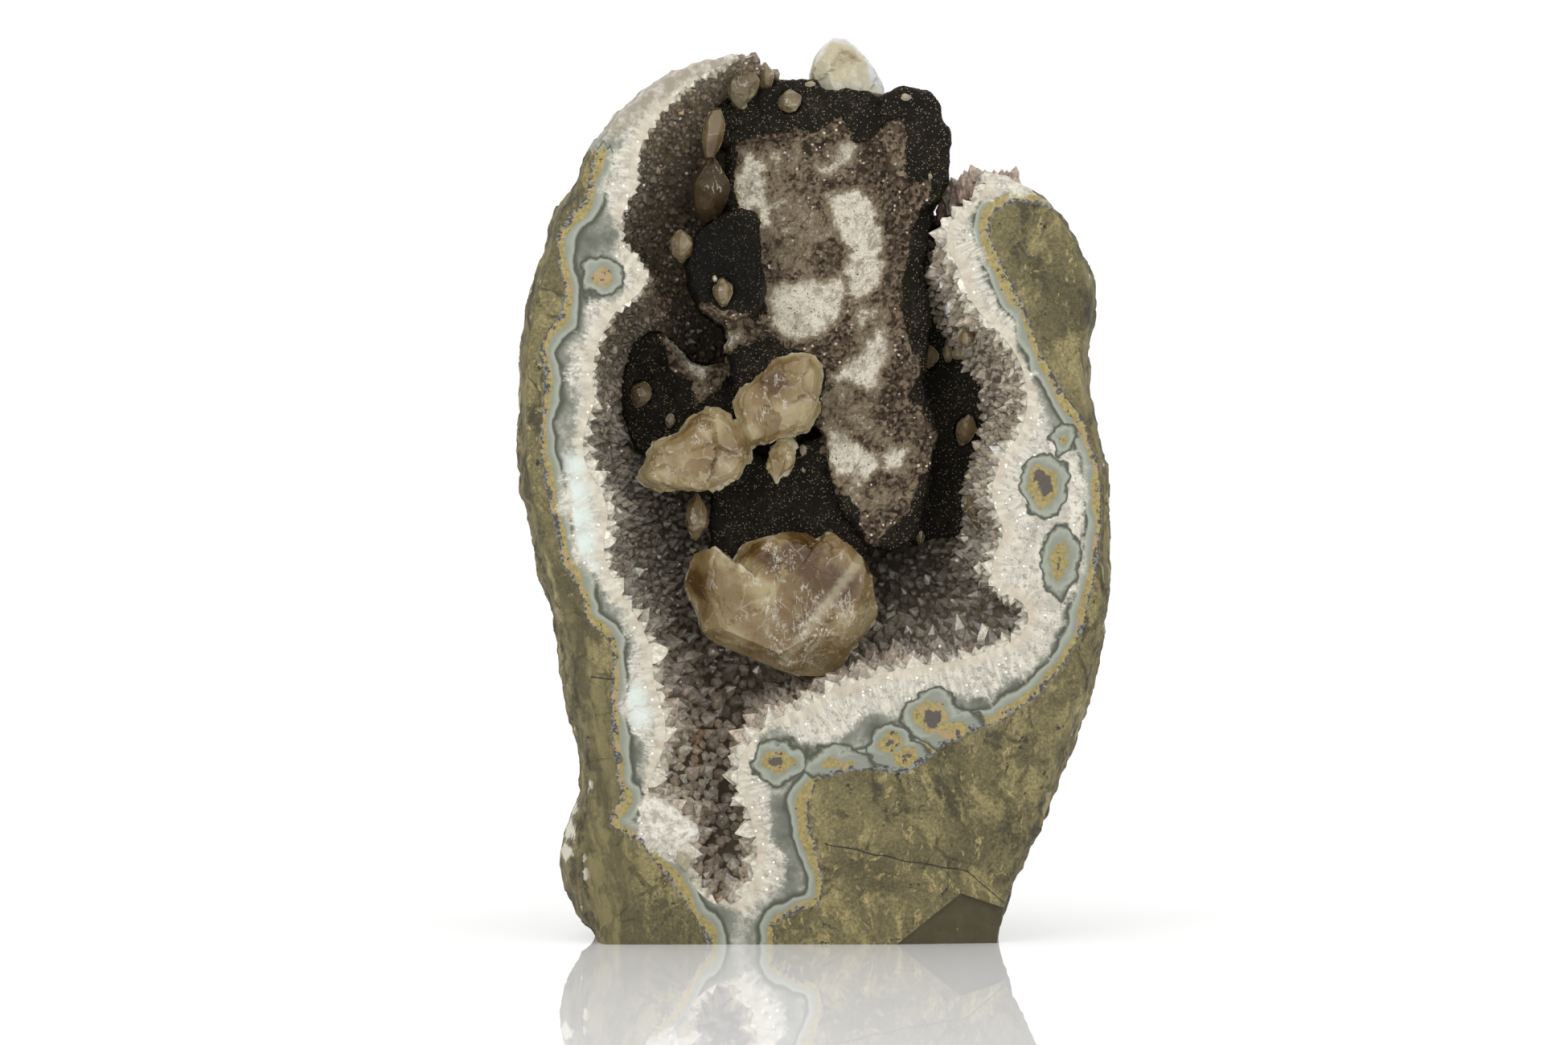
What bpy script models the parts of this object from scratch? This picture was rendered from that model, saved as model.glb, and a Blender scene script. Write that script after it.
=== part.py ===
"""An amethyst geode, sawn open at the front and cut flat below so that it stands.

A basalt and agate shell holds a crust of quartz crystals, a block coated with black druse
grows from the back of the hollow, and calcite crystals sit on both. Outlines are millimetres
right of the middle and above the base; depths are millimetres behind the sawn face.
"""

import math

import bmesh
import bpy
import numpy as np
from mathutils import Vector, noise
from mathutils.bvhtree import BVHTree

MM = 0.001
GAP = 0.35              # room left between pieces that touch
SHIFT_X = -0.04         # brings the middle of the specimen over the origin
FRONT_Y = -67.0         # where the sawn face stands
ROCK_DEPTH = 134.0      # sawn face to the back of the rock
GIRDLE_DEPTH = 26.0     # where the rock is widest
AGATE_DEPTH = 104.0     # how far the inside of the agate goes back
HOLLOW_DEPTH = 92.0     # how far the hollow goes back
BLOCK_BACK = 95.0       # how far the black block reaches into the crust
BLOCK_COVER = 3.0       # crust left between the block and the agate
CRYSTAL_RISE = 4.2      # points of the quartz crust above its mean surface
CRYSTAL_DIP = 1.3       # valleys between them below it
ROUGHNESS = 1.5         # lumps and dents of the natural rock
FLAT_ENOUGH = 0.8       # degrees between faces that are merged as one
SLIVER = 0.00002        # metres below which points are merged
NOISE_SEED = 5
NOISE_PLACE = Vector((3.1, 7.7, 1.9))

ROCK_STEPS = 72         # points round the rock
AGATE_STEPS = 54        # points round the inside of the agate
HOLLOW_STEPS = 75       # points round the hollow, a multiple of three
HOLLOW_ROWS = 12        # rows of crystals from the rim to the back

# The widest outline of the rock, from the lower left corner up and round.
GIRDLE = (
    (-67, 0), (-72, 6), (-76.5, 14), (-78.5, 22.5), (-79, 29), (-76, 39), (-73, 47.5), (-74, 61),
    (-77, 71), (-80, 96), (-85, 113), (-89, 131), (-91.5, 146), (-92, 164), (-92, 181),
    (-90, 194), (-88, 204), (-84, 214), (-81, 228), (-77, 233), (-74, 237.5), (-72, 245),
    (-66, 253), (-58.5, 261.5), (-49, 269), (-38, 274.5), (-27, 277), (-16, 276), (-10, 273),
    (-6, 268), (-3.5, 256), (0.5, 243), (11, 235), (25, 233), (37, 235), (51, 239.5), (58, 240),
    (64, 237), (70, 233.5), (75, 229), (80, 223), (85, 215), (89, 207), (89, 197.5), (87, 186),
    (87, 172.5), (89, 162), (91.5, 151), (92.5, 139), (92, 125), (92, 110), (90.5, 96), (88, 80),
    (84, 69), (80, 57.5), (73, 39), (68, 29), (63, 17), (58, 0), (55, -20), (20, -30), (-20, -30),
    (-62, -20),
)

# The sawn face, a little inside the widest outline.
SAWN_FACE = (
    (-64, 0), (-67, 14), (-68.5, 24), (-68.5, 32.5), (-67, 44), (-67, 56), (-68, 69), (-71, 79),
    (-72, 89), (-75, 99), (-78, 109), (-81, 119), (-83, 129), (-86, 141), (-88, 154), (-88, 169),
    (-88, 181), (-87, 191), (-85, 201), (-82, 211), (-80, 219), (-78, 225), (-74, 231),
    (-71.5, 237.5), (-69, 245), (-64, 252.5), (-57, 260), (-48, 267), (-37, 273), (-28, 275),
    (-16.5, 274), (-11, 271), (-7.5, 266), (-4.5, 255), (0, 241), (11, 233), (25, 231), (37, 233),
    (51, 237.5), (58.5, 238), (65, 236), (71, 232), (75, 228), (80, 219), (83.5, 207.5), (83, 196),
    (82, 184), (82, 171), (85, 161), (88, 151), (89, 141), (89, 129), (88, 116), (88, 104),
    (86, 91), (83.5, 81), (78.5, 70), (75, 61), (70, 47.5), (65, 35), (60, 22.5), (56, 0),
    (53, -20), (20, -30), (-20, -30), (-60, -20),
)

# Where the agate ends and the white quartz begins, open at the top.
AGATE_INSIDE = (
    (-6.5, 281), (-26.5, 273), (-36, 271), (-46, 265.5), (-54, 259), (-60, 252), (-63, 245),
    (-65, 237), (-67, 230), (-72, 223), (-75, 218), (-74.5, 211), (-72, 203), (-74, 196),
    (-77, 189), (-79, 182), (-79, 174), (-79.5, 165), (-80, 156), (-79, 146), (-77, 136),
    (-75, 127), (-73.5, 118), (-69.5, 109), (-67, 102), (-62, 96), (-59, 92), (-59, 83),
    (-60, 74), (-58.5, 62.5), (-58, 53), (-55, 46), (-57, 38), (-54, 34), (-47, 29), (-42, 22),
    (-36, 13), (-31, 7), (-23, 5), (-15, 9), (-8, 13), (-2, 18), (-1, 24), (-3, 33), (-7, 41),
    (-10, 47), (-15, 50), (-18, 56), (-16, 63), (-10, 66), (-4, 64), (0, 60), (10, 61), (18, 60),
    (21, 67), (27, 69), (31, 74), (36, 77), (43, 76), (51, 75), (59, 78), (67, 82), (72, 88),
    (76, 96), (80, 104), (83, 113), (85, 124), (86, 134), (86, 143), (83, 151), (79, 157),
    (74, 164), (70, 174), (66.5, 184), (63, 193), (59, 201), (55, 209), (52, 216), (51, 223),
    (53, 228), (59, 232), (67, 233), (75, 237), (75, 281),
)

# The inner edge of the quartz crust at the sawn face, open at the top.
HOLLOW = (
    (-5, 286), (-19, 276), (-30, 271), (-38, 266), (-45, 259), (-50, 252), (-53, 244), (-53, 237),
    (-56, 231), (-58, 225), (-59, 220), (-55, 216), (-50, 208), (-53, 201), (-59, 197), (-63, 191),
    (-66, 184), (-67, 175), (-66, 169), (-69, 161), (-70, 153), (-67, 146), (-63.5, 140),
    (-62, 132.5), (-63.5, 123), (-60, 113), (-55, 105), (-51, 98), (-48.5, 91), (-48, 83),
    (-46, 76), (-44, 68), (-45, 60), (-48, 53), (-50, 46), (-45, 42), (-39, 36), (-36, 29),
    (-38, 23), (-35, 18), (-28, 13), (-23, 16), (-20, 22), (-19, 31), (-21, 39), (-24, 47),
    (-25, 53), (-24, 59), (-19, 66), (-12, 72), (-3, 75), (5, 81), (13, 83), (22, 86), (32, 88),
    (45, 90), (54, 93), (62, 96), (66, 102), (63, 106), (56, 109), (54, 115), (55, 122.5),
    (58, 128), (55, 135), (54, 142), (57, 151), (63, 160), (65, 169), (63, 180), (57, 189),
    (50, 196), (46, 203), (44, 209), (40, 217), (41, 225), (46, 230), (51, 234), (53, 244),
    (55, 286),
)

# The pieces of the black block: an outline and the depth of its front.
BLOCK_PIECES = (
    (30, ((-27, 267), (-12.5, 272), (1, 272), (3, 268), (11, 270), (18, 269), (22, 265),
          (34, 264), (39, 258), (38.5, 231), (35.5, 213), (38, 195), (35.5, 177),
          (40, 159.5), (36, 139), (33, 126.5), (25.5, 122), (17.5, 124.5), (9.5, 134),
          (5, 146.5), (3, 159.5), (-6.5, 169.5), (-15.5, 185), (-27, 195), (-32, 213), (-28, 231),
          (-27, 249))),
    (27, ((-29.5, 251), (-29.5, 264), (-12, 269), (2, 264), (11, 266), (25, 260), (24, 251),
          (2, 252))),
    (24, ((22, 266.5), (28.5, 269.5), (37.5, 268), (41, 264), (41, 258.5), (43.5, 256),
          (43.5, 239.5), (40.5, 234), (34, 228), (27, 234), (22, 244))),
    (14, ((-40, 212), (-37.5, 219.5), (-35.5, 223.5), (-30.5, 227), (-24, 229.5), (-18, 229.5),
          (-16.5, 219.5), (-15.5, 212), (-15.5, 202), (-18, 196.5), (-24, 194.5), (-30.5, 195.5),
          (-36, 199.5), (-39, 206.5))),
    (34, ((-32, 141), (-29.5, 149), (-20.5, 154.5), (-13, 150.5), (-5, 156.5), (6, 159),
          (12, 146), (18, 134), (21, 126), (16, 118.5), (-2.5, 120), (-18, 118.5), (-27, 114.5),
          (-31, 118.5), (-32, 128.5))),
    (28, ((-27, 178), (-28.5, 198), (-20, 194), (-13, 190), (-6.5, 186), (-3, 178),
          (-6, 166), (-20.5, 166))),
    (40, ((-59, 190), (-48, 192.5), (-43, 188), (-38, 183), (-24, 182), (-20, 169), (-30, 163),
          (-36, 154.5), (-49, 150.5), (-56.5, 154.5), (-60.5, 164.5), (-60.5, 182.5))),
    (48, ((26.5, 215), (33.5, 210), (42, 204), (48, 201.5), (50.5, 196), (52.5, 185.5),
          (55.5, 175.5), (59, 159.5), (57, 152), (55, 139), (54, 128.5), (49, 126), (40, 127),
          (33.5, 123.5), (26, 144))),
)

# Flat rounded calcites: depth of the middle, thickness in front of and behind it, points
# round the outline, and the outline.
LARGE_CALCITE = (25, 14, 13, 34, (
    (-41, 110.5), (-40, 116), (-37.5, 127), (-32.5, 126.5), (-30.5, 119), (-28, 114.5),
    (-26.5, 118), (-24, 123), (-20, 127.5), (-15, 130), (-6.5, 131), (-1.5, 128.5), (3, 126),
    (5, 129.5), (9, 132), (12.5, 130), (16, 126), (18.5, 121.5), (23, 121.5), (24, 118),
    (23.5, 112), (22, 105.5), (21, 100.5), (17, 94.5), (13.5, 91), (11, 86), (9.5, 82), (3.5, 80),
    (-3, 82), (-8.5, 82), (-13, 83.5), (-20, 86), (-26.5, 88), (-31, 90.5), (-34.5, 93),
    (-36, 98), (-38.5, 105),
))
DISC_CALCITE = (20, 9, 10, 18, (
    (-25.5, 169.5), (-25.5, 173), (-21.5, 175), (-16.5, 179.5), (-11.5, 183.5), (-5.5, 185.5),
    (1, 185), (4, 181), (4, 174), (3, 168), (1.5, 163), (-1.5, 158.5), (-6, 158), (-11.5, 157),
    (-16.5, 155), (-19, 153), (-22.5, 155.5), (-24, 161),
))
BARREL_CALCITE = (19, 10, 12, 18, (
    (-56, 144), (-54, 147.5), (-53.5, 153.5), (-49.5, 156), (-46.5, 158.5), (-41.5, 160.5),
    (-39, 165), (-35, 167.5), (-30, 168.5), (-25, 165), (-20, 160), (-18.5, 153), (-21, 146),
    (-29, 142), (-35, 140), (-41, 139.5), (-48, 140.5),
))
TOP_CALCITE = (42, 9, 9, 18, (
    (-1, 276), (-0.5, 279.5), (2, 283), (5.5, 286.5), (8.5, 287.5), (12, 286), (16, 282),
    (20, 277.5), (23, 273), (23.5, 266), (20, 261), (10, 260), (1, 262), (-1.5, 268),
))
LENS_POWER = 2.4                # how full the flat calcites are
LENS_SHARES = (0.4, 0.78)       # widths of the rings between the rim and the middle
PAIR_PRISM = ((-8, 26, 162), (-12, 21, 142), 10.5)

# Small pointed calcites: name, foot and tip as (right, depth, up), and width.
POINTED_CALCITES = (
    ("calcite_slim", (-33, 19, 242.5), (-29.5, 13, 264.5), 7.6),
    ("calcite_dark", (-33, 27, 222), (-31.5, 19, 248), 14.0),
    ("calcite_column", (-36.5, 32, 142), (-37, 30, 124.5), 9.0),
    ("calcite_horn_large", (-24, 27, 261), (-21, 21, 278), 12.5),
    ("calcite_horn_small", (-15, 33, 266.5), (-15, 28, 278), 7.0),
    ("calcite_ledge", (-12, 31, 263), (-3, 25, 266.5), 8.0),
    ("calcite_cube", (-41, 21, 212.5), (-41.5, 15, 224), 9.5),
)

# Calcites that lie against whatever is behind them: name, middle, height, width and tilt.
RESTING_CALCITES = (
    ("calcite_lobe", (-28, 203.3), 11.0, 7.6, -6),
    ("calcite_twin", (-54.7, 172.3), 10.5, 8.5, 24),
    ("calcite_chip", (-45.4, 163.8), 6.5, 4.6, 10),
    ("calcite_trio_left", (38, 184.5), 9.5, 6.6, 4),
    ("calcite_trio_middle", (43.7, 185.5), 8.0, 4.6, 0),
    ("calcite_trio_right", (49, 189.5), 8.0, 6.5, -12),
    ("calcite_wedge", (49.5, 161), 12.5, 8.0, 18),
    ("calcite_blade", (52, 134), 14.5, 6.5, -20),
    ("calcite_drop", (35, 126.3), 7.0, 3.8, 0),
)

# The slip on the right of the base, where a wedge of rock has come away.
SLIP = ((26, 0, 0.3), (46, 16, 1.5), (63.5, 10, 5.5), (61, -8, 5.5), (20, -8, 0.3))


def at(right, depth, up):
    """A point in metres from its millimetres."""
    return Vector(((right + SHIFT_X) * MM, (FRONT_Y + depth) * MM, up * MM))


def curve_through(points, steps=8):
    """A closed Catmull-Rom curve through measured points."""
    curve = []
    for index in range(len(points)):
        a, b, c, d = (np.array(points[(index + k) % len(points)], float) for k in (-1, 0, 1, 2))
        for step in range(steps):
            t = step / steps
            bend = (2 * a - 5 * b + 4 * c - d) * t + (3 * b - a - 3 * c + d) * t * t
            curve.append(b + (c - a + bend) * t / 2)
    return np.array(curve)


def even_steps(curve, count, offset=0.0):
    """The closed curve as count points at equal steps, starting offset steps along it."""
    closed = np.vstack((curve, curve[:1]))
    length = np.concatenate(([0], np.cumsum(np.hypot(*np.diff(closed, axis=0).T))))
    along = (np.arange(count) + offset) % count / count * length[-1]
    return np.column_stack([np.interp(along, length, closed[:, axis]) for axis in (0, 1)])


def softened(points, spread):
    """The closed outline with its details blurred over about spread points."""
    for _ in range(int(2 * spread * spread)):
        points = (np.roll(points, 1, 0) + 2 * points + np.roll(points, -1, 0)) / 4
    return points


def narrowing(depth, full_depth, power):
    """How much of its width a domed hollow or back keeps at a depth."""
    return (1 - min(max(depth / full_depth, 0), 1) ** power) ** (1 / power)


def ordered(data):
    """The mesh again, its points and faces in an order that never changes."""
    places = [tuple(vert.co) for vert in data.vertices]
    order = sorted(range(len(places)), key=places.__getitem__)
    rank = {index: number for number, index in enumerate(order)}
    faces = []
    for face in data.polygons:
        corners = [rank[index] for index in face.vertices]
        first = corners.index(min(corners))
        faces.append(corners[first:] + corners[:first])
    again = bpy.data.meshes.new(data.name)
    again.from_pydata([places[index] for index in order], [], sorted(faces))
    return again


def new_object(name, mesh):
    """A scene object from a bmesh, settled to hundredths of a millimetre."""
    for vert in mesh.verts:
        vert.co = [round(value, 5) for value in vert.co]
    data = bpy.data.meshes.new(name)
    mesh.to_mesh(data)
    mesh.free()
    part = bpy.data.objects.new(name, ordered(data))
    bpy.context.scene.collection.objects.link(part)
    return part


def loft(name, rings, tip):
    """A closed skin over rings of points, flat at the first and drawn to a tip past the last."""
    mesh = bmesh.new()
    ring = bmesh.ops.create_circle(mesh, segments=len(rings[0]), radius=1)["verts"]
    edges = list(mesh.edges)
    cap = mesh.faces.new(ring)
    rows = [ring]
    for _ in rings[1:]:
        made = bmesh.ops.extrude_edge_only(mesh, edges=edges)["geom"]
        fresh = {item for item in made if isinstance(item, bmesh.types.BMVert)}
        edges = [item for item in made if isinstance(item, bmesh.types.BMEdge)]
        twins = ((edge.other_vert(vert) for edge in vert.link_edges) for vert in rows[-1])
        rows.append([next(vert for vert in pair if vert in fresh) for pair in twins])
    for row, places in zip(rows, rings):
        for vert, place in zip(row, places):
            vert.co = place
    for near, far in zip(rows, rows[1:]):
        for index, vert in enumerate(far):
            corner = near[(index + 1) % len(near)]
            face = next(iter(set(vert.link_faces) & set(corner.link_faces)))
            bmesh.utils.face_split(face, corner, vert)
    bmesh.ops.extrude_edge_only(mesh, edges=edges)
    last = [vert for vert in mesh.verts if vert not in {v for row in rows for v in row}]
    bmesh.ops.pointmerge(mesh, verts=last, merge_co=tip)
    bmesh.ops.triangulate(mesh, faces=[cap])
    bmesh.ops.recalc_face_normals(mesh, faces=mesh.faces)
    return new_object(name, mesh)


def combine(body, tool, operation):
    """Cut the tool from the body, join it on, or keep what they share."""
    change = body.modifiers.new(operation.lower(), "BOOLEAN")
    change.operation = operation
    change.solver = "EXACT"
    change.object = tool
    bpy.context.view_layer.update()
    evaluated = body.evaluated_get(bpy.context.evaluated_depsgraph_get())
    data = ordered(bpy.data.meshes.new_from_object(evaluated))
    body.modifiers.clear()
    body.data = data


def discard(*parts):
    """Remove construction shapes that have done their work."""
    for part in parts:
        bpy.data.objects.remove(part)


def grown(body, distance):
    """A copy of the body with its skin moved out by a distance in millimetres."""
    mesh = bmesh.new()
    mesh.from_mesh(body.data)
    bmesh.ops.remove_doubles(mesh, verts=mesh.verts, dist=0.00001)
    mesh.normal_update()
    moves = [vert.normal * min(vert.calc_shell_factor(), 1.6) * distance * MM for vert in mesh.verts]
    for vert, move in zip(mesh.verts, moves):
        vert.co += move
    return new_object(body.name + "_room", mesh)


def cleaned(body):
    """Keep the body's largest lump, without slivers, as triangles."""
    mesh = bmesh.new()
    mesh.from_mesh(body.data)
    bmesh.ops.remove_doubles(mesh, verts=mesh.verts, dist=SLIVER)
    bmesh.ops.dissolve_degenerate(mesh, edges=mesh.edges, dist=SLIVER)
    left = set(mesh.faces)
    lumps = []
    while left:
        lump = set()
        front = [left.pop()]
        while front:
            face = front.pop()
            lump.add(face)
            touching = {other for edge in face.edges for other in edge.link_faces} & left
            left -= touching
            front.extend(touching)
        lumps.append(lump)
    lumps.sort(key=lambda lump: sum(face.calc_area() for face in lump))
    crumbs = [face for lump in lumps[:-1] for face in lump]
    bmesh.ops.delete(mesh, geom=crumbs, context="FACES")
    bmesh.ops.dissolve_limit(mesh, angle_limit=math.radians(FLAT_ENOUGH), verts=mesh.verts,
                             edges=mesh.edges)
    bmesh.ops.triangulate(mesh, faces=mesh.faces)
    mesh.to_mesh(body.data)
    mesh.free()
    body.data = ordered(body.data)
    return body


def painted(body, colour, roughness, transmission=0.0):
    """Give the body its own material."""
    material = bpy.data.materials.new(body.name)
    material.use_nodes = True
    shader = material.node_tree.nodes["Principled BSDF"]
    shader.inputs["Base Color"].default_value = (*colour, 1)
    shader.inputs["Roughness"].default_value = roughness
    shader.inputs["Metallic"].default_value = 0
    shader.inputs["Transmission Weight"].default_value = transmission
    body.data.materials.clear()
    body.data.materials.append(material)
    return body


def rock_mass():
    """The whole specimen filled in, cut flat in front and below."""
    widest = even_steps(curve_through(GIRDLE), ROCK_STEPS)
    sawn = curve_through(SAWN_FACE)
    middle = np.array((0, 118))
    angles = np.arctan2(*(sawn - middle).T)
    order = np.argsort(angles)
    reach = np.hypot(*(sawn - middle).T)
    depths = (0, 3, 13, GIRDLE_DEPTH, 46, 68, 88, 105, 118, 128)
    rings = []
    for depth in depths:
        spokes = widest - middle
        wide = np.hypot(*spokes.T)
        narrow = np.interp(np.arctan2(*spokes.T), angles[order], reach[order], period=2 * math.pi)
        share = narrowing(GIRDLE_DEPTH - depth, GIRDLE_DEPTH + 1, 2.2)
        size = narrowing(depth - GIRDLE_DEPTH, ROCK_DEPTH - GIRDLE_DEPTH, 2.3)
        outline = spokes * ((narrow + (wide - narrow) * share) / wide)[:, None] * size
        outline = softened(outline, max(depth - GIRDLE_DEPTH, 0) / 30) + middle
        ring = []
        for right, up in outline:
            place = at(right, depth, up)
            outward = Vector((right - middle[0], 0, up - middle[1])).normalized()
            lump = noise.noise(place * 38 + NOISE_PLACE) + 0.5 * noise.noise(place * 110 + NOISE_PLACE)
            ring.append(place + outward * lump * ROUGHNESS * MM * min(depth / 12, 1))
        rings.append(ring)
    mass = loft("rock_mass", rings, at(-4, ROCK_DEPTH, 122))
    below = bmesh.new()
    bmesh.ops.create_cube(below, size=1)
    bmesh.ops.scale(below, vec=(0.3, 0.3, 0.1), verts=below.verts)
    bmesh.ops.translate(below, vec=(0, 0, -0.05), verts=below.verts)
    ground = new_object("below", below)
    combine(mass, ground, "DIFFERENCE")
    discard(ground)
    return mass


def domed(outline, count, depths, full_depth, power, centre):
    """Rings of a hollow's skin, each half a step round from the last, closing like a dome."""
    base = even_steps(curve_through(outline), count * 4)
    rings = []
    for row, depth in enumerate(depths):
        size = narrowing(depth, full_depth, power)
        placed = (softened(base, 26 * (1 - size)) - centre) * size + centre
        rings.append([at(right, depth, up) for right, up in even_steps(placed, count, 0.5 * row)])
    return rings


def agate_inside():
    """The space inside the agate."""
    depths = (-2, 6, 18, 34, 50, 65, 79, 91, 99)
    rings = domed(AGATE_INSIDE, AGATE_STEPS, depths, AGATE_DEPTH, 2.3, (-3, 135))
    return loft("agate_inside", rings, at(-3, AGATE_DEPTH, 135))


def hollow():
    """The open space, with a six-sided crystal point in each cell of its skin."""
    depths = [-3 + (HOLLOW_DEPTH - 2) * math.sin(row / HOLLOW_ROWS * math.pi / 2) ** 1.05
              for row in range(HOLLOW_ROWS)]
    smooth = domed(HOLLOW, HOLLOW_STEPS, depths, HOLLOW_DEPTH, 2.0, (-3, 137))
    tip = at(-3, HOLLOW_DEPTH, 137)
    rings = [smooth[0]]
    for row in range(1, HOLLOW_ROWS):
        before = smooth[row - 1]
        after = smooth[row + 1] if row + 1 < HOLLOW_ROWS else [tip] * HOLLOW_STEPS
        ring = []
        for column, place in enumerate(smooth[row]):
            beside = (column + 1) % HOLLOW_STEPS
            round_it = smooth[row][beside] - smooth[row][column - 1]
            inward = round_it.cross(after[column] - before[beside]).normalized()
            sway = noise.noise_vector(place * 400 + NOISE_PLACE)
            if (column - row) % 3:
                ring.append(place - inward * CRYSTAL_DIP * MM + sway * 0.6 * MM)
            else:
                room = min(1, 1.2 * narrowing(depths[row], HOLLOW_DEPTH, 2.0))
                rise = CRYSTAL_RISE * room * (0.85 + 0.5 * sway.x)
                ring.append(place + (sway * 0.4 + inward) * rise * MM)
        rings.append(ring)
    return loft("hollow", rings, tip)


def extruded(name, outline, front, back, bevel):
    """A slab with the outline, its front edge broken by a bevel."""
    mesh = bmesh.new()
    face = mesh.faces.new([mesh.verts.new(at(right, front, up)) for right, up in outline])
    made = bmesh.ops.extrude_face_region(mesh, geom=[face])["geom"]
    moved = [item for item in made if isinstance(item, bmesh.types.BMVert)]
    bmesh.ops.translate(mesh, verts=moved, vec=(0, (back - front) * MM, 0))
    rim = [edge for edge in mesh.edges if all(abs(v.co.y - at(0, front, 0).y) < 1e-7 for v in edge.verts)]
    bmesh.ops.bevel(mesh, geom=rim, offset=bevel * MM, segments=1, profile=0.5, affect="EDGES",
                    material=-1)
    bmesh.ops.recalc_face_normals(mesh, faces=mesh.faces)
    bmesh.ops.triangulate(mesh, faces=mesh.faces)
    return new_object(name, mesh)


def united(name, pieces, extra):
    """One body from overlapping pieces, each grown by extra millimetres."""
    bodies = [grown(piece, extra) for piece in pieces]
    for body in bodies[1:]:
        combine(bodies[0], body, "UNION")
    discard(*pieces, *bodies[1:])
    bodies[0].name = name
    return cleaned(bodies[0])


def black_block(agate, extra=0.0):
    """The block in the middle, stepped in front and rounded to the agate behind."""
    pieces = [extruded("block_piece", outline, front, BLOCK_BACK + number, 1.0)
              for number, (front, outline) in enumerate(BLOCK_PIECES)]
    block = united("black_druse_block", pieces, extra)
    limit = grown(agate, extra - BLOCK_COVER)
    combine(block, limit, "INTERSECT")
    discard(limit)
    return cleaned(block)


def calcite_pair(extra=0.0):
    """The disc and the barrel that have grown together, with a prism below them."""
    pieces = [lens("disc", *DISC_CALCITE), lens("barrel", *BARREL_CALCITE),
              spindle("prism", *PAIR_PRISM)]
    return united("calcite_pair", pieces, extra)


def lens(name, middle, front, back, count, outline):
    """A rounded crystal, widest along its outline."""
    rim = even_steps(curve_through(outline), count)
    centre = rim.mean(axis=0)
    profile = [(share, -front * math.sqrt(1 - share ** LENS_POWER)) for share in LENS_SHARES]
    profile += [(1.0, 0.0)]
    profile += [(share, back * math.sqrt(1 - share ** LENS_POWER)) for share in LENS_SHARES[::-1]]
    rings = [[at(right, middle + depth, up) for right, up in (rim - centre) * share + centre]
             for share, depth in profile]
    return loft(name, rings, at(centre[0], middle + back, centre[1]))


def spindle(name, foot, tip, width):
    """A six-sided crystal with a point at each end."""
    foot = at(*foot)
    tip = at(*tip)
    axis = tip - foot
    turn = axis.to_track_quat("Z", "Y").to_matrix().to_4x4()
    mesh = bmesh.new()
    made = bmesh.ops.create_cone(mesh, cap_ends=True, segments=6, radius1=width * MM * 0.43,
                                 radius2=width * MM * 0.5, depth=axis.length * 0.28)
    for face in [face for face in mesh.faces if len(face.verts) == 6]:
        side = 1 if face.calc_center_median().z > 0 else -1
        point = bmesh.ops.poke(mesh, faces=[face])["verts"][0]
        point.co.z = side * axis.length / 2
    bmesh.ops.transform(mesh, matrix=turn, verts=mesh.verts)
    bmesh.ops.translate(mesh, vec=(foot + tip) / 2, verts=mesh.verts)
    bmesh.ops.triangulate(mesh, faces=mesh.faces)
    bmesh.ops.recalc_face_normals(mesh, faces=mesh.faces)
    return new_object(name, mesh)


def resting(name, middle, height, width, tilt, ground):
    """A small crystal half sunk into whatever lies behind its middle."""
    eye = at(middle[0], -40, middle[1])
    hits = [tree.ray_cast(eye, Vector((0, 1, 0)))[0] for tree in ground]
    nearest = min(hit.y for hit in hits if hit)
    depth = nearest / MM - FRONT_Y - width * 0.12
    lean = math.radians(tilt)
    reach = (math.sin(lean) * height / 2, math.cos(lean) * height / 2)
    foot = (middle[0] - reach[0], depth + 1.5, middle[1] - reach[1])
    tip = (middle[0] + reach[0], depth - 1.0, middle[1] + reach[1])
    return spindle(name, foot, tip, width)


def slip_wedge():
    """The wedge of air where the rock has slipped away."""
    mesh = bmesh.new()
    for right, up, depth in SLIP:
        mesh.verts.new(at(right, depth, up))
        mesh.verts.new(at(right, -6, up))
    bmesh.ops.convex_hull(mesh, input=mesh.verts)
    bmesh.ops.recalc_face_normals(mesh, faces=mesh.faces)
    return new_object("slip", mesh)


def ground_tree(body):
    """A search tree of the body's faces."""
    mesh = bmesh.new()
    mesh.from_mesh(body.data)
    tree = BVHTree.FromBMesh(mesh)
    mesh.free()
    return tree


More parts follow.
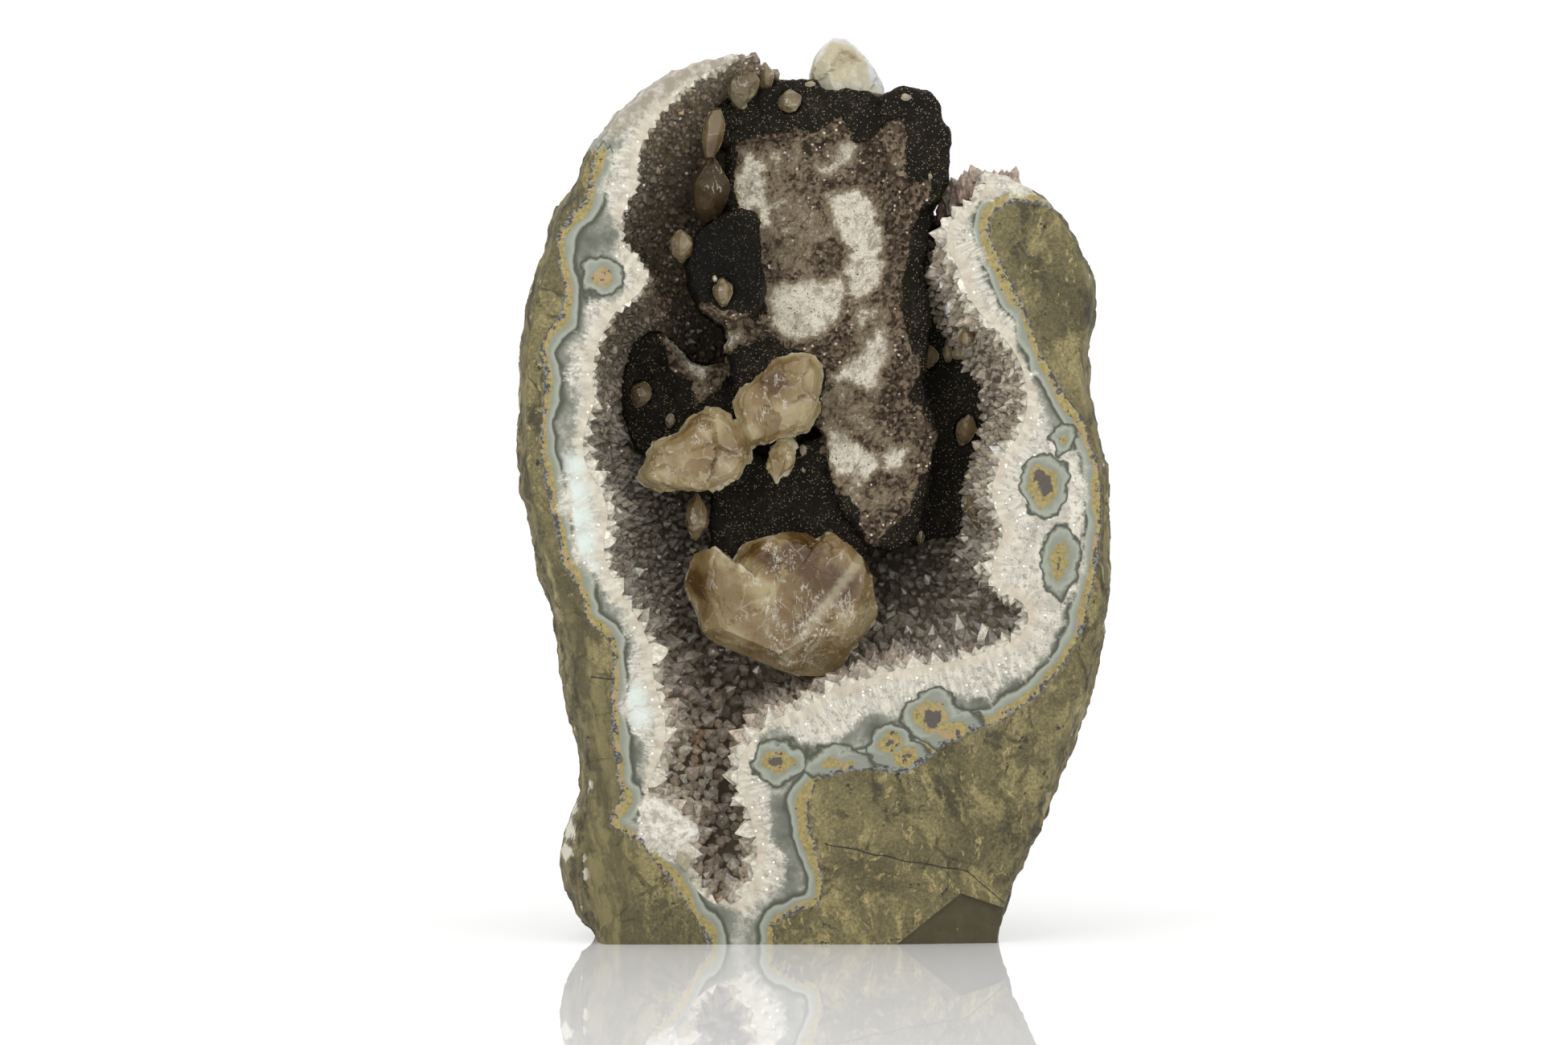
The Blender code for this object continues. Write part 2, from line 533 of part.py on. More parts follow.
def build():
    """Model every piece and cut the room each one needs out of what carries it."""
    for old in list(bpy.data.objects):
        bpy.data.objects.remove(old)
    noise.seed_set(NOISE_SEED)

    agate = agate_inside()
    shell = rock_mass()
    crust = shell.copy()
    crust.data = shell.data.copy()
    bpy.context.scene.collection.objects.link(crust)
    shell.name = "rock_shell"
    crust.name = "quartz_crust"

    wedge = slip_wedge()
    combine(shell, agate, "DIFFERENCE")
    combine(shell, wedge, "DIFFERENCE")
    cleaned(shell)

    inner = grown(agate, -GAP)
    space = hollow()
    combine(crust, inner, "INTERSECT")
    combine(crust, space, "DIFFERENCE")
    block = black_block(agate)
    room = black_block(agate, GAP)
    combine(crust, room, "DIFFERENCE")
    cleaned(crust)
    discard(wedge, inner, space, room, agate)

    calcites = [calcite_pair(), lens("calcite_large", *LARGE_CALCITE),
                lens("calcite_top", *TOP_CALCITE)]
    calcites += [spindle(*entry) for entry in POINTED_CALCITES]
    ground = [ground_tree(crust), ground_tree(block)]
    calcites += [resting(*entry, ground) for entry in RESTING_CALCITES]

    rooms = [calcite_pair(GAP)] + [grown(calcite, GAP) for calcite in calcites[1:]]
    for number, room in enumerate(rooms):
        for body in [shell, crust, block] + calcites[number + 1:]:
            combine(body, room, "DIFFERENCE")
    discard(*rooms)
    for body in [shell, crust, block] + calcites:
        cleaned(body)

    painted(shell, (0.20, 0.17, 0.10), 0.8)
    painted(crust, (0.42, 0.39, 0.37), 0.3)
    painted(block, (0.03, 0.028, 0.026), 0.6)
    for calcite in calcites:
        painted(calcite, (0.62, 0.56, 0.42), 0.15, 0.7)


build()
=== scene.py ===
"""A standing geode, sawn open in front: agate rim, grey druse, black druse block, clear calcites."""

import math

import bmesh
import bpy
import numpy as np
from bpy.props import FloatProperty, FloatVectorProperty, IntProperty, PointerProperty
from mathutils import Matrix, Quaternion, Vector, noise
from mathutils.kdtree import KDTree


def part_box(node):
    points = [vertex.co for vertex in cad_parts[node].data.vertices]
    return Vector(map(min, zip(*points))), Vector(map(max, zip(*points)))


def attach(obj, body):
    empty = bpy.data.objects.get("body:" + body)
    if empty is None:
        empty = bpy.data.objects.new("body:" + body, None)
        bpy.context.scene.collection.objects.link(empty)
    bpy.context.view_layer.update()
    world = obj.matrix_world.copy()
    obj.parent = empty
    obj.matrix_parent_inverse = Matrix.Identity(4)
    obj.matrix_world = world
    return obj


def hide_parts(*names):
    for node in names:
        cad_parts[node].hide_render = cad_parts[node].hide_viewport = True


bl_info = {
    "name": "Standing geode",
    "version": (1, 0, 0),
    "blender": (4, 5, 0),
    "location": "3D View > Sidebar > Geode",
    "description": "Dresses the packed geode in agate, druse and calcite, and lights it",
    "category": "Add Mesh",
}

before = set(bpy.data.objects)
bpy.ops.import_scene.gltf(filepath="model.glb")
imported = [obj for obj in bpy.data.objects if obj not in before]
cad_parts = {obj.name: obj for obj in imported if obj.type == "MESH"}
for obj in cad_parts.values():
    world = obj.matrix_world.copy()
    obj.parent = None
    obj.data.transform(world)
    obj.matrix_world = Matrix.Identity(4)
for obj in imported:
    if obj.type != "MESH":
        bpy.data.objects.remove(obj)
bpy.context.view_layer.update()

# Sizes are in millimetres, apart from the block's grain, which is in metres.
MM = 0.001
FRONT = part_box("rock_shell")[0].y / MM
MIDDLE = np.array((0.0, 118.0))
ROCK_DEPTH = 134.0
GIRDLE_DEPTH = 26.0
HOLLOW_DEPTH = 92.0
HOLLOW_CENTRE = np.array((-3.0, 137.0))
EYE = Vector((-9, FRONT - 1354, 131.25)) * MM
SLABS = 6
ROUND_STEPS = 520
HOLLOW_STEPS = 300
TIP_ROOM = 1.7
SEAT_TRIES = 90000
RIM_DEPTH = 7
DRUSE_SPLIT = 150
SKYLINE = 241
BLOCK_GRAIN = 0.00095
PLACE = Vector((3.1, 7.7, 1.9))

# Outlines are millimetres right of the middle and above the base.
GIRDLE = (
    (-67, 0), (-72, 6), (-76.5, 14), (-78.5, 22.5), (-79, 29), (-76, 39), (-73, 47.5), (-74, 61),
    (-77, 71), (-80, 96), (-85, 113), (-89, 131), (-91.5, 146), (-92, 164), (-92, 181),
    (-90, 194), (-88, 204), (-84, 214), (-81, 228), (-77, 233), (-74, 237.5), (-72, 245),
    (-66, 253), (-58.5, 261.5), (-49, 269), (-38, 274.5), (-27, 277), (-16, 276), (-10, 273),
    (-6, 268), (-3.5, 256), (0.5, 243), (11, 235), (25, 233), (37, 235), (51, 239.5), (58, 240),
    (64, 237), (70, 233.5), (75, 229), (80, 223), (85, 215), (89, 207), (89, 197.5), (87, 186),
    (87, 172.5), (89, 162), (91.5, 151), (92.5, 139), (92, 125), (92, 110), (90.5, 96), (88, 80),
    (84, 69), (80, 57.5), (73, 39), (68, 29), (63, 17), (58, 0), (55, -20), (20, -30), (-20, -30),
    (-62, -20),
)
SAWN_FACE = (
    (-64, 0), (-67, 14), (-68.5, 24), (-68.5, 32.5), (-67, 44), (-67, 56), (-68, 69), (-71, 79),
    (-72, 89), (-75, 99), (-78, 109), (-81, 119), (-83, 129), (-86, 141), (-88, 154), (-88, 169),
    (-88, 181), (-87, 191), (-85, 201), (-82, 211), (-80, 219), (-78, 225), (-74, 231),
    (-71.5, 237.5), (-69, 245), (-64, 252.5), (-57, 260), (-48, 267), (-37, 273), (-28, 275),
    (-16.5, 274), (-11, 271), (-7.5, 266), (-4.5, 255), (0, 241), (11, 233), (25, 231), (37, 233),
    (51, 237.5), (58.5, 238), (65, 236), (71, 232), (75, 228), (80, 219), (83.5, 207.5), (83, 196),
    (82, 184), (82, 171), (85, 161), (88, 151), (89, 141), (89, 129), (88, 116), (88, 104),
    (86, 91), (83.5, 81), (78.5, 70), (75, 61), (70, 47.5), (65, 35), (60, 22.5), (56, 0),
    (53, -20), (20, -30), (-20, -30), (-60, -20),
)
HOLLOW = (
    (-5, 286), (-19, 276), (-30, 271), (-38, 266), (-45, 259), (-50, 252), (-53, 244), (-53, 237),
    (-56, 231), (-58, 225), (-59, 220), (-55, 216), (-50, 208), (-53, 201), (-59, 197), (-63, 191),
    (-66, 184), (-67, 175), (-66, 169), (-69, 161), (-70, 153), (-67, 146), (-63.5, 140),
    (-62, 132.5), (-63.5, 123), (-60, 113), (-55, 105), (-51, 98), (-48.5, 91), (-48, 83),
    (-46, 76), (-44, 68), (-45, 60), (-48, 53), (-50, 46), (-45, 42), (-39, 36), (-36, 29),
    (-38, 23), (-35, 18), (-28, 13), (-23, 16), (-20, 22), (-19, 31), (-21, 39), (-24, 47),
    (-25, 53), (-24, 59), (-19, 66), (-12, 72), (-3, 75), (5, 81), (13, 83), (22, 86), (32, 88),
    (45, 90), (54, 93), (62, 96), (66, 102), (63, 106), (56, 109), (54, 115), (55, 122.5),
    (58, 128), (55, 135), (54, 142), (57, 151), (63, 160), (65, 169), (63, 180), (57, 189),
    (50, 196), (46, 203), (44, 209), (40, 217), (41, 225), (46, 230), (51, 234), (53, 244),
    (55, 286),
)

# Where the white quartz begins.
AGATE_INSIDE = (
    (-6.5, 281), (-26.5, 273), (-36, 271), (-46, 265.5), (-53, 259), (-58, 252), (-61, 246),
    (-64, 239), (-66, 231), (-63, 226), (-61, 221), (-60.5, 215), (-60.5, 208), (-62, 202),
    (-68, 199), (-73, 192), (-76, 184), (-76.5, 175), (-75, 167), (-74.5, 159), (-77, 151),
    (-78, 144), (-77, 136), (-75.5, 127), (-73.5, 118), (-66, 110), (-61, 103), (-60, 97),
    (-58.5, 92), (-58.5, 83), (-58.5, 74), (-56, 67), (-53.5, 62), (-53, 55), (-53, 46),
    (-55, 38), (-53, 33), (-46, 27), (-40, 21), (-33, 17), (-28, 11), (-23, 6), (-17, 9),
    (-11, 14), (-8, 19), (-6.5, 25), (-9, 30), (-13, 34), (-13, 41), (-13, 47), (-16, 51),
    (-18, 56), (-16, 63), (-10, 66), (-4, 64), (2, 62), (10, 65), (16, 70), (21, 72), (26, 71),
    (31, 75), (36, 77.5), (43, 76), (51, 75), (59, 79), (67, 83), (72, 88),
    (76, 96), (80, 104), (83, 113), (85, 124), (86, 134), (86, 143), (83, 151), (79, 157),
    (74, 164), (70, 174), (66.5, 184), (63, 193), (59, 201), (55, 209), (52, 216), (51, 223),
    (53, 228), (59, 232), (67, 233), (75, 237), (75, 281),
)

# Where the basalt ends and the agate begins, closed far outside at the top and below.
CONTACT = (
    (-26.5, 276), (-37, 273), (-48, 267), (-57, 260), (-63.5, 253), (-68, 246), (-70, 237),
    (-72, 231), (-77, 225), (-80, 219), (-79, 211), (-77.5, 204), (-78, 197), (-82, 191),
    (-85, 184), (-83.5, 176), (-84.5, 166), (-85, 157.5), (-84.5, 149), (-82.5, 139),
    (-80.5, 130), (-78.5, 121), (-76, 115), (-72, 109), (-71, 102), (-66, 97), (-63, 93),
    (-62.5, 83), (-63, 74), (-62, 61), (-61, 52.5), (-60, 46), (-63, 38), (-59, 34), (-53, 31),
    (-48, 24), (-42, 16), (-36, 7), (-33, 1), (-30, -12), (-14, -12), (-12, 1), (-12, 6), (-5, 10),
    (2, 13), (3, 21), (0.5, 31), (-1.5, 41), (0, 47.5), (2, 51), (12, 54), (22, 54), (30, 54),
    (38.5, 60), (47, 65), (60, 70.5), (70, 77.5), (78, 87.5), (84, 98), (86.5, 109), (89, 121),
    (90, 134), (90, 144), (87, 154), (83.5, 164), (80, 169), (75, 177), (70, 186), (66.5, 196),
    (62, 206), (57, 215), (55, 222.5), (57, 228), (65, 231), (74, 229), (84, 222), (112, 250),
    (90, 310), (-40, 310),
)

# Agate eyes in the rim: middle, and half width and height of the ochre core.
EYES = (
    ((-66, 208), (3.4, 3.0)), ((72, 143), (5.2, 6.2)), ((77, 119), (3.0, 5.6)), ((-11, 57), (4.6, 4.2)),
    ((23.5, 62.5), (3.2, 3.6)), ((37, 71), (5.4, 4.8)), ((77, 157.5), (1.8, 1.8)),
    ((29, 58), (4.0, 3.0)), ((44, 66), (5.0, 3.2)), ((8, 56), (5.0, 2.2)),
)
# Dark glassy chalcedony and pale blue patches: middle and radius.
DARK_GLASS = (((18.5, 67.5), 8), ((9, 66), 5), ((-8, 22), 7), ((-8, 34), 8), ((-9, 42), 7), ((-78, 169), 6),
              ((-78, 179), 6), ((-70, 219), 9), ((-64, 220), 6), ((-70, 208), 8), ((-69, 201), 5),
              ((-56, 60), 6),
              ((-53, 37), 5), ((-42, 18), 6), ((-30, 8), 7), ((-8, 13), 6), ((52, 76), 7), ((64, 82), 5),
              ((-67, 109), 4), ((-60.5, 95), 5), ((-59.5, 88), 4), ((-65, 240), 6))
PALE_BLUE = (((-74, 149), 6), ((-73.5, 141), 7), ((-73, 133), 7.5), ((-71.5, 125), 7.5), ((-70.5, 117), 6),
             ((-55.5, 77), 6.5), ((-54, 71), 6.5))
# White scale on the left flank: middle and radius.
WHITE_SCALE = (((-76, 42), 4), ((-76.5, 35), 5), ((-77, 28), 4), ((-70.5, 27), 2.6), ((-70, 22), 2.6))
# Where each large calcite is dark and clear, and where it is milky; the milky spot low in the middle of the
# large calcite is also painted light on its bottom facet, which faces down into shade.
DARK_CALCITE = (((-38, 114), 9), ((-36, 124), 8), ((-3, 121), 13), ((-14, 118), 9), ((6, 112), 9),
                ((-13, 175), 8))
MILKY_AND_LIT_CALCITE = (((-13, 127), 7), ((-15, 110), 7), ((16, 98), 12), ((21, 109), 9), ((4, 84), 15),
                 ((-25, 92), 10),
                 ((-3, 165), 8), ((1, 175), 7), ((-20, 160), 6), ((-38, 143), 11), ((-50, 146), 9),
                 ((-26, 148), 8),
                 ((-33, 161), 8))
# Pale crests and honey-coloured points in the druse: middle and radius.
PALE_RIDGES = (((-18, 84), 3.2), ((-22, 81), 3.2), ((-26, 77), 3.2), ((-30, 73), 3.2), ((36, 211), 6),
               ((38, 205), 4),
               ((-47, 68), 3), ((-44, 60), 3))
HONEY_POINTS = (((-37.5, 61), 4.0), ((-37, 56), 2.5), ((-31, 12), 3.5))
# Heaps of points on the crust between the block and the right lobe: right, depth and up of their feet.
SKYLINE_CLUSTER = ((41.5, 46, 229.5), (43.2, 42, 231.5), (45, 36, 233), (46.8, 31, 235), (48.5, 26, 236),
                   (50.2, 20, 236.5),
                   (52, 13, 236.5), (54, 11, 237), (56, 10, 237.5), (58.5, 10, 237.5), (61, 10, 237.5),
                   (63, 10, 237.5))
# The wedge of rock that has slipped away: right, up and how deep.
SLIP = ((26, 0, 0.3), (46, 16, 1.5), (63.5, 10, 5.5), (61, -8, 5.5), (20, -8, 0.3))


# Cracks in the rock: right and up.
CRACKS = (
    ((3, 31.5), (18.2, 28.4), (30.4, 25.8), (40.6, 24), (48.3, 22.6), (53.4, 18.2), (61, 12)),
    ((-70, 83.5), (-64, 82.4), (-58, 82.6), (-53, 82.2)),
)


class GeodeSizes(bpy.types.PropertyGroup):
    """Sizes that shape the geode's details."""

    crystal: FloatProperty(name="Crystal width", description="Usual width of a quartz point",
                           default=0.0030, min=0.0015, max=0.008, subtype="DISTANCE", unit="LENGTH")
    lean: FloatProperty(name="Crystal lean", description="How far a quartz point leans at random",
                        default=math.radians(24), min=0, max=1, subtype="ANGLE", unit="ROTATION")
    bark: FloatProperty(name="Rock roughness", description="Height of the streaks on the rock's flanks",
                        default=0.0011, min=0, max=0.004, subtype="DISTANCE", unit="LENGTH")
    sugar: FloatProperty(name="Sugar height", description="Height of the grain on the black block",
                         default=0.00045, min=0, max=0.002, subtype="DISTANCE", unit="LENGTH")
    floor: FloatProperty(name="Floor width", description="Width of the floor", default=6.0, min=1,
                         max=20, subtype="DISTANCE", unit="LENGTH")
    seed: IntProperty(name="Seed", description="Starts the random places", default=11, min=0)


def colour_property(name, description, default):
    """A colour setting, linear red, green and blue."""
    return FloatVectorProperty(name=name, description=description, default=default, size=3, min=0,
                               max=1, subtype="COLOR")


class GeodeColours(bpy.types.PropertyGroup):
    """Colours of the minerals."""

    basalt: colour_property("Basalt", "Olive brown rock", (0.155, 0.130, 0.056))
    ochre: colour_property("Ochre", "Yellow band and cores of the eyes", (0.33, 0.265, 0.095))
    celadon: colour_property("Celadon", "Pale grey-green band", (0.29, 0.31, 0.25))
    line: colour_property("Dark line", "Thin dark green lines", (0.06, 0.062, 0.042))
    chalcedony: colour_property("Chalcedony", "Grey-green agate", (0.20, 0.205, 0.165))
    blue: colour_property("Pale blue", "Milky blue patches", (0.64, 0.71, 0.66))
    quartz: colour_property("Quartz", "White quartz at the rim", (0.63, 0.60, 0.505))
    grey: colour_property("Grey druse", "Quartz points low in the hollow", (0.36, 0.32, 0.255))
    brown: colour_property("Brown druse", "Fine quartz high in the hollow", (0.22, 0.17, 0.11))
    black: colour_property("Black druse", "Velvety coat of the block", (0.014, 0.0115, 0.0075))
    honey: colour_property("Honey calcite", "Clear calcite", (0.32, 0.215, 0.090))


def flat(right, depth, up):
    """Places in metres from millimetres right, behind the sawn face and up."""
    right, depth, up = np.broadcast_arrays(right, depth, up)
    return np.column_stack((right, FRONT + depth, up)) * MM


def curve_through(points, steps=8):
    """A closed Catmull-Rom curve through measured points."""
    curve = []
    for index in range(len(points)):
        a, b, c, d = (np.array(points[(index + k) % len(points)], float) for k in (-1, 0, 1, 2))
        for step in range(steps):
            t = step / steps
            bend = (2 * a - 5 * b + 4 * c - d) * t + (3 * b - a - 3 * c + d) * t * t
            curve.append(b + (c - a + bend) * t / 2)
    return np.array(curve)


def even_steps(curve, count):
    """The closed curve as count points at equal steps."""
    closed = np.vstack((curve, curve[:1]))
    length = np.concatenate(([0], np.cumsum(np.hypot(*np.diff(closed, axis=0).T))))
    along = np.arange(count) / count * length[-1]
    return np.column_stack([np.interp(along, length, closed[:, axis]) for axis in (0, 1)])


def softened(points, spread):
    """The closed outline with its details blurred over about spread points."""
    for _ in range(int(2 * spread * spread)):
        points = (np.roll(points, 1, 0) + 2 * points + np.roll(points, -1, 0)) / 4
    return points


def narrowing(depth, full_depth, power):
    """How much of its width a domed hollow or back keeps at a depth."""
    return (1 - min(max(depth / full_depth, 0), 1) ** power) ** (1 / power)


def step_between(low, high, value):
    """A smooth step from 0 at low to 1 at high."""
    t = np.clip((value - low) / (high - low), 0, 1)
    return t * t * (3 - 2 * t)


def signed_distance(points, loop):
    """Millimetres from a closed loop, positive inside it, and the place along it."""
    best = np.full(len(points), 1e9)
    place = np.zeros(len(points))
    inside = np.zeros(len(points), bool)
    gone = 0.0
    for start, end in zip(loop, np.roll(loop, -1, 0)):
        run = end - start
        share = np.clip(((points - start) @ run) / (run @ run), 0, 1)
        away = np.hypot(*(points - start - share[:, None] * run).T)
        closer = away < best
        best[closer] = away[closer]
        place[closer] = gone + share[closer] * np.hypot(*run)
        crosses = (start[1] > points[:, 1]) != (end[1] > points[:, 1])
        if start[1] != end[1]:
            meet = start[0] + (points[:, 1] - start[1]) / (end[1] - start[1]) * run[0]
            inside ^= crosses & (points[:, 0] < meet)
        gone += np.hypot(*run)
    return np.where(inside, best, -best), place


def spread_of(points, spots, softness=1.0):
    """How far each point lies inside round spots, 1 in their middles and 0 outside."""
    share = np.zeros(len(points))
    for (right, up), radius in spots:
        away = np.hypot(points[:, 0] - right, points[:, 1] - up) / radius
        share = np.maximum(share, 1 - step_between(1 - softness, 1, away))
    return share


def waves(places, scale, octaves=2):
    """Smooth noise in each place, about -1 to 1."""
    found = np.zeros(len(places))
    for octave in range(octaves):
        size = scale * 2.1 ** octave
        layer = [noise.noise(Vector(p) * size + PLACE * (octave + 1)) for p in places]
        found += np.array(layer) / 2 ** octave
    return found


def new_piece(name, mesh):
    """An object of the scene from a bmesh."""
    data = bpy.data.meshes.new(name)
    mesh.to_mesh(data)
    mesh.free()
    data.validate()
    piece = bpy.data.objects.new(name, data)
    bpy.context.scene.collection.objects.link(piece)
    return piece


def places_of(data):
    """Vertex places of a mesh, in metres."""
    places = np.empty(len(data.vertices) * 3)
    data.vertices.foreach_get("co", places)
    return places.reshape(-1, 3)


def set_places(data, places):
    """Move a mesh's vertices."""
    data.vertices.foreach_set("co", np.asarray(places, float).ravel())
    data.update()


def set_field(data, name, values):
    """Store a number or a vector on each vertex."""
    values = np.asarray(values, np.float32)
    if values.ndim == 1:
        data.attributes.new(name, "FLOAT", "POINT").data.foreach_set("value", values)
    else:
        data.attributes.new(name, "FLOAT_VECTOR", "POINT").data.foreach_set("vector", values.ravel())


def wrapped(name, rings):
    """A closed skin over rings of places; a ring drawn to one place is a pole, others are filled."""
    count = len(rings[0])
    mesh = bmesh.new()
    bmesh.ops.create_grid(mesh, x_segments=count, y_segments=len(rings) - 1, size=1)
    data = bpy.data.meshes.new(name)
    mesh.to_mesh(data)
    set_places(data, np.vstack([np.vstack((ring, ring[:1])) for ring in rings]))
    mesh.clear()
    mesh.from_mesh(data)
    bpy.data.meshes.remove(data)
    bmesh.ops.remove_doubles(mesh, verts=mesh.verts, dist=1e-7)
    rims = [edge for edge in mesh.edges if edge.is_boundary]
    if rims:
        bmesh.ops.holes_fill(mesh, edges=rims, sides=0)
    bmesh.ops.recalc_face_normals(mesh, faces=mesh.faces)
    return new_piece(name, mesh)


def settle(piece):
    """Put the result of a piece's modifiers in its mesh."""
    bpy.context.view_layer.update()
    data = bpy.data.meshes.new_from_object(piece.evaluated_get(bpy.context.evaluated_depsgraph_get()))
    piece.modifiers.clear()
    piece.data = data
    return piece


def cut_away(piece, tool):
    """Take the tool's space out of the piece."""
    change = piece.modifiers.new("cut", "BOOLEAN")
    change.operation = "DIFFERENCE"
    change.solver = "EXACT"
    change.object = tool
    settle(piece)
    bpy.data.objects.remove(tool)


def copied_node(name, node):
    """A welded copy of a solid of the frame, as a bmesh."""
    mesh = bmesh.new()
    mesh.from_mesh(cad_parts[node].data)
    bmesh.ops.remove_doubles(mesh, verts=mesh.verts, dist=1e-6)
    return mesh


def sawn_off(mesh, parts, place, outward):
    """Take off what lies outward of a plane, and close the cut."""
    cut = bmesh.ops.bisect_plane(mesh, geom=parts, dist=1e-7, plane_co=place, plane_no=outward,
                                 clear_outer=True)["geom_cut"]
    bmesh.ops.holes_fill(mesh, edges=[item for item in cut if isinstance(item, bmesh.types.BMEdge)],
                         sides=0)


def search_tree(places):
    """A tree that finds the nearest of some places."""
    tree = KDTree(len(places))
    for index, place in enumerate(places):
        tree.insert(place, index)
    tree.balance()
    return tree


# Node graph helpers.

class Value:
    """An output of a node, which can be reckoned with like a number."""

    def __init__(self, socket):
        self.socket = socket
        self.tree = socket.id_data

    def math(self, operation, *others):
        """The result of a Math node."""
        return output(self.tree, "ShaderNodeMath", dict(enumerate((self, *others))), operation=operation)

    def __add__(self, other):
        return self.math("ADD", other)

    def __sub__(self, other):
        return self.math("SUBTRACT", other)

    def __mul__(self, other):
        return self.math("MULTIPLY", other)


def plug(value, socket):
    """Link a node's output to a socket, or set the socket to a constant."""
    value = value.socket if isinstance(value, Value) else value
    if isinstance(value, bpy.types.NodeSocket):
        socket.id_data.links.new(value, socket)
    else:
        socket.default_value = (*value, 1) if socket.type == "RGBA" and len(value) == 3 else value


def node(tree, kind, inputs=(), **settings):
    """A node with its settings; each input is a value or another node's output."""
    made = tree.nodes.new(kind)
    for key, value in settings.items():
        setattr(made, key, value)
    for key, value in dict(inputs).items():
        plug(value, made.inputs[key])
    return made


def output(tree, kind, inputs=(), key=0, **settings):
    """One output of a new node."""
    return Value(node(tree, kind, inputs, **settings).outputs[key])


def between(value, low, high):
    """A smooth 0 to 1 as the value goes from low to high."""
    inputs = {"Value": value, "From Min": low, "From Max": high}
    return output(value.tree, "ShaderNodeMapRange", inputs, interpolation_type="SMOOTHSTEP")


def toned(colour, shares):
    """A colour times a number, or times one each for red, green and blue."""
    return (np.array(colour) * shares).tolist()


def blended(share, first, second, mode="MIX"):
    """Two colours mixed by a share; at least one of the three comes from a node."""
    tree = next(item.tree for item in (share, first, second) if isinstance(item, Value))
    return output(tree, "ShaderNodeMix", {0: share, 6: first, 7: second}, 2, data_type="RGBA",
                  blend_type=mode)


def field(tree, name, kind="Fac"):
    """A number, colour or vector stored on the mesh."""
    return output(tree, "ShaderNodeAttribute", (), kind, attribute_name=name)


def mapped(vector, scale=(1, 1, 1), rotation=(0, 0, 0)):
    """Places stretched and then turned."""
    return output(vector.tree, "ShaderNodeMapping", {"Vector": vector, "Scale": scale,
                                                     "Rotation": rotation})


def object_places(tree):
    """Object coordinates."""
    return output(tree, "ShaderNodeTexCoord", (), "Object")


def along(vector, axis):
    """One of a vector's three numbers."""
    return output(vector.tree, "ShaderNodeSeparateXYZ", {0: vector}, axis)


def wavering(places, scale, reach):
    """Places moved about by noise."""
    wander = output(places.tree, "ShaderNodeTexNoise", {"Vector": places, "Scale": scale, "Detail": 3.0},
                    "Color")
    inputs = {0: wander, 1: reach, 2: places}
    return output(places.tree, "ShaderNodeVectorMath", inputs, operation="MULTIPLY_ADD")


def cloud(vector, scale, detail=3.0, roughness=0.55):
    """Noise from 0 to 1."""
    inputs = {"Vector": vector, "Scale": scale, "Detail": detail, "Roughness": roughness}
    return output(vector.tree, "ShaderNodeTexNoise", inputs, "Fac")


def cells(vector, scale, **settings):
    """The distances of a cell pattern."""
    return output(vector.tree, "ShaderNodeTexVoronoi", {"Vector": vector, "Scale": scale}, "Distance",
                  **settings)


def effect_group(name, inputs, outputs):
    """An empty shader node group with named sockets, and its two ends."""
    group = bpy.data.node_groups.new(name, "ShaderNodeTree")
    for label, kind, value in inputs:
        socket = group.interface.new_socket(label, in_out="INPUT", socket_type=kind)
        if value is not None:
            socket.default_value = value
    for label, kind in outputs:
        group.interface.new_socket(label, in_out="OUTPUT", socket_type=kind)
    return group, group.nodes.new("NodeGroupInput"), group.nodes.new("NodeGroupOutput")


def placed_group(tree, group, **inputs):
    """A node of an effect group."""
    made = node(tree, "ShaderNodeGroup", node_tree=group)
    for key, value in inputs.items():
        plug(value, made.inputs[key.capitalize()])
    return made


def glint_group():
    """Painted glints: pale specks on a share of the grains, standing in for light caught by sugary crystal."""
    if "Crystal glints" in bpy.data.node_groups:
        return bpy.data.node_groups["Crystal glints"]
    group, start, end = effect_group(
        "Crystal glints",
        [("Scale", "NodeSocketFloat", 900.0), ("Share", "NodeSocketFloat", 0.05),
         ("Colour", "NodeSocketColor", (0.5, 0.5, 0.5, 1)),
          ("Glint", "NodeSocketColor", (0.9, 0.88, 0.8, 1))],
        [("Colour", "NodeSocketColor")])
    places = object_places(group)
    grain = node(group, "ShaderNodeTexVoronoi", {"Vector": places, "Scale": start.outputs["Scale"]})
    luck = output(group, "ShaderNodeSeparateColor", {0: grain.outputs["Color"]})
    near = Value(grain.outputs["Distance"]).math("LESS_THAN", 0.36)
    lucky = luck.math("LESS_THAN", start.outputs["Share"])
    mask = near * lucky
    plug(blended(mask, start.outputs["Colour"], start.outputs["Glint"]), end.inputs["Colour"])
    return group


def glinting(tree, colour, scale, share, glint):
    """A colour with painted glints on a share of its grains."""
    look = placed_group(tree, glint_group(), scale=scale, share=share, colour=colour, glint=(*glint, 1))
    return Value(look.outputs["Colour"])


def new_material(name, roughness=0.5, **constants):
    """A material, its tree and its Principled shader."""
    material = bpy.data.materials.new(name)
    material.use_nodes = True
    shader = material.node_tree.nodes["Principled BSDF"]
    shader.inputs["Roughness"].default_value = roughness
    for key, value in constants.items():
        shader.inputs[key.replace("_", " ")].default_value = value
    return material, material.node_tree, shader


def feed(tree, shader, colour=None, roughness=None, height=None, strength=0.5, distance=0.001):
    """Link a colour, roughness and bump height to a shader."""
    bump = None
    if height is not None:
        bump = output(tree, "ShaderNodeBump", {"Height": height, "Strength": strength,
                                               "Distance": distance})
    for socket, value in (("Base Color", colour), ("Roughness", roughness), ("Normal", bump)):
        if value is not None:
            plug(value, shader.inputs[socket])


# The rock with its sawn agate rim.

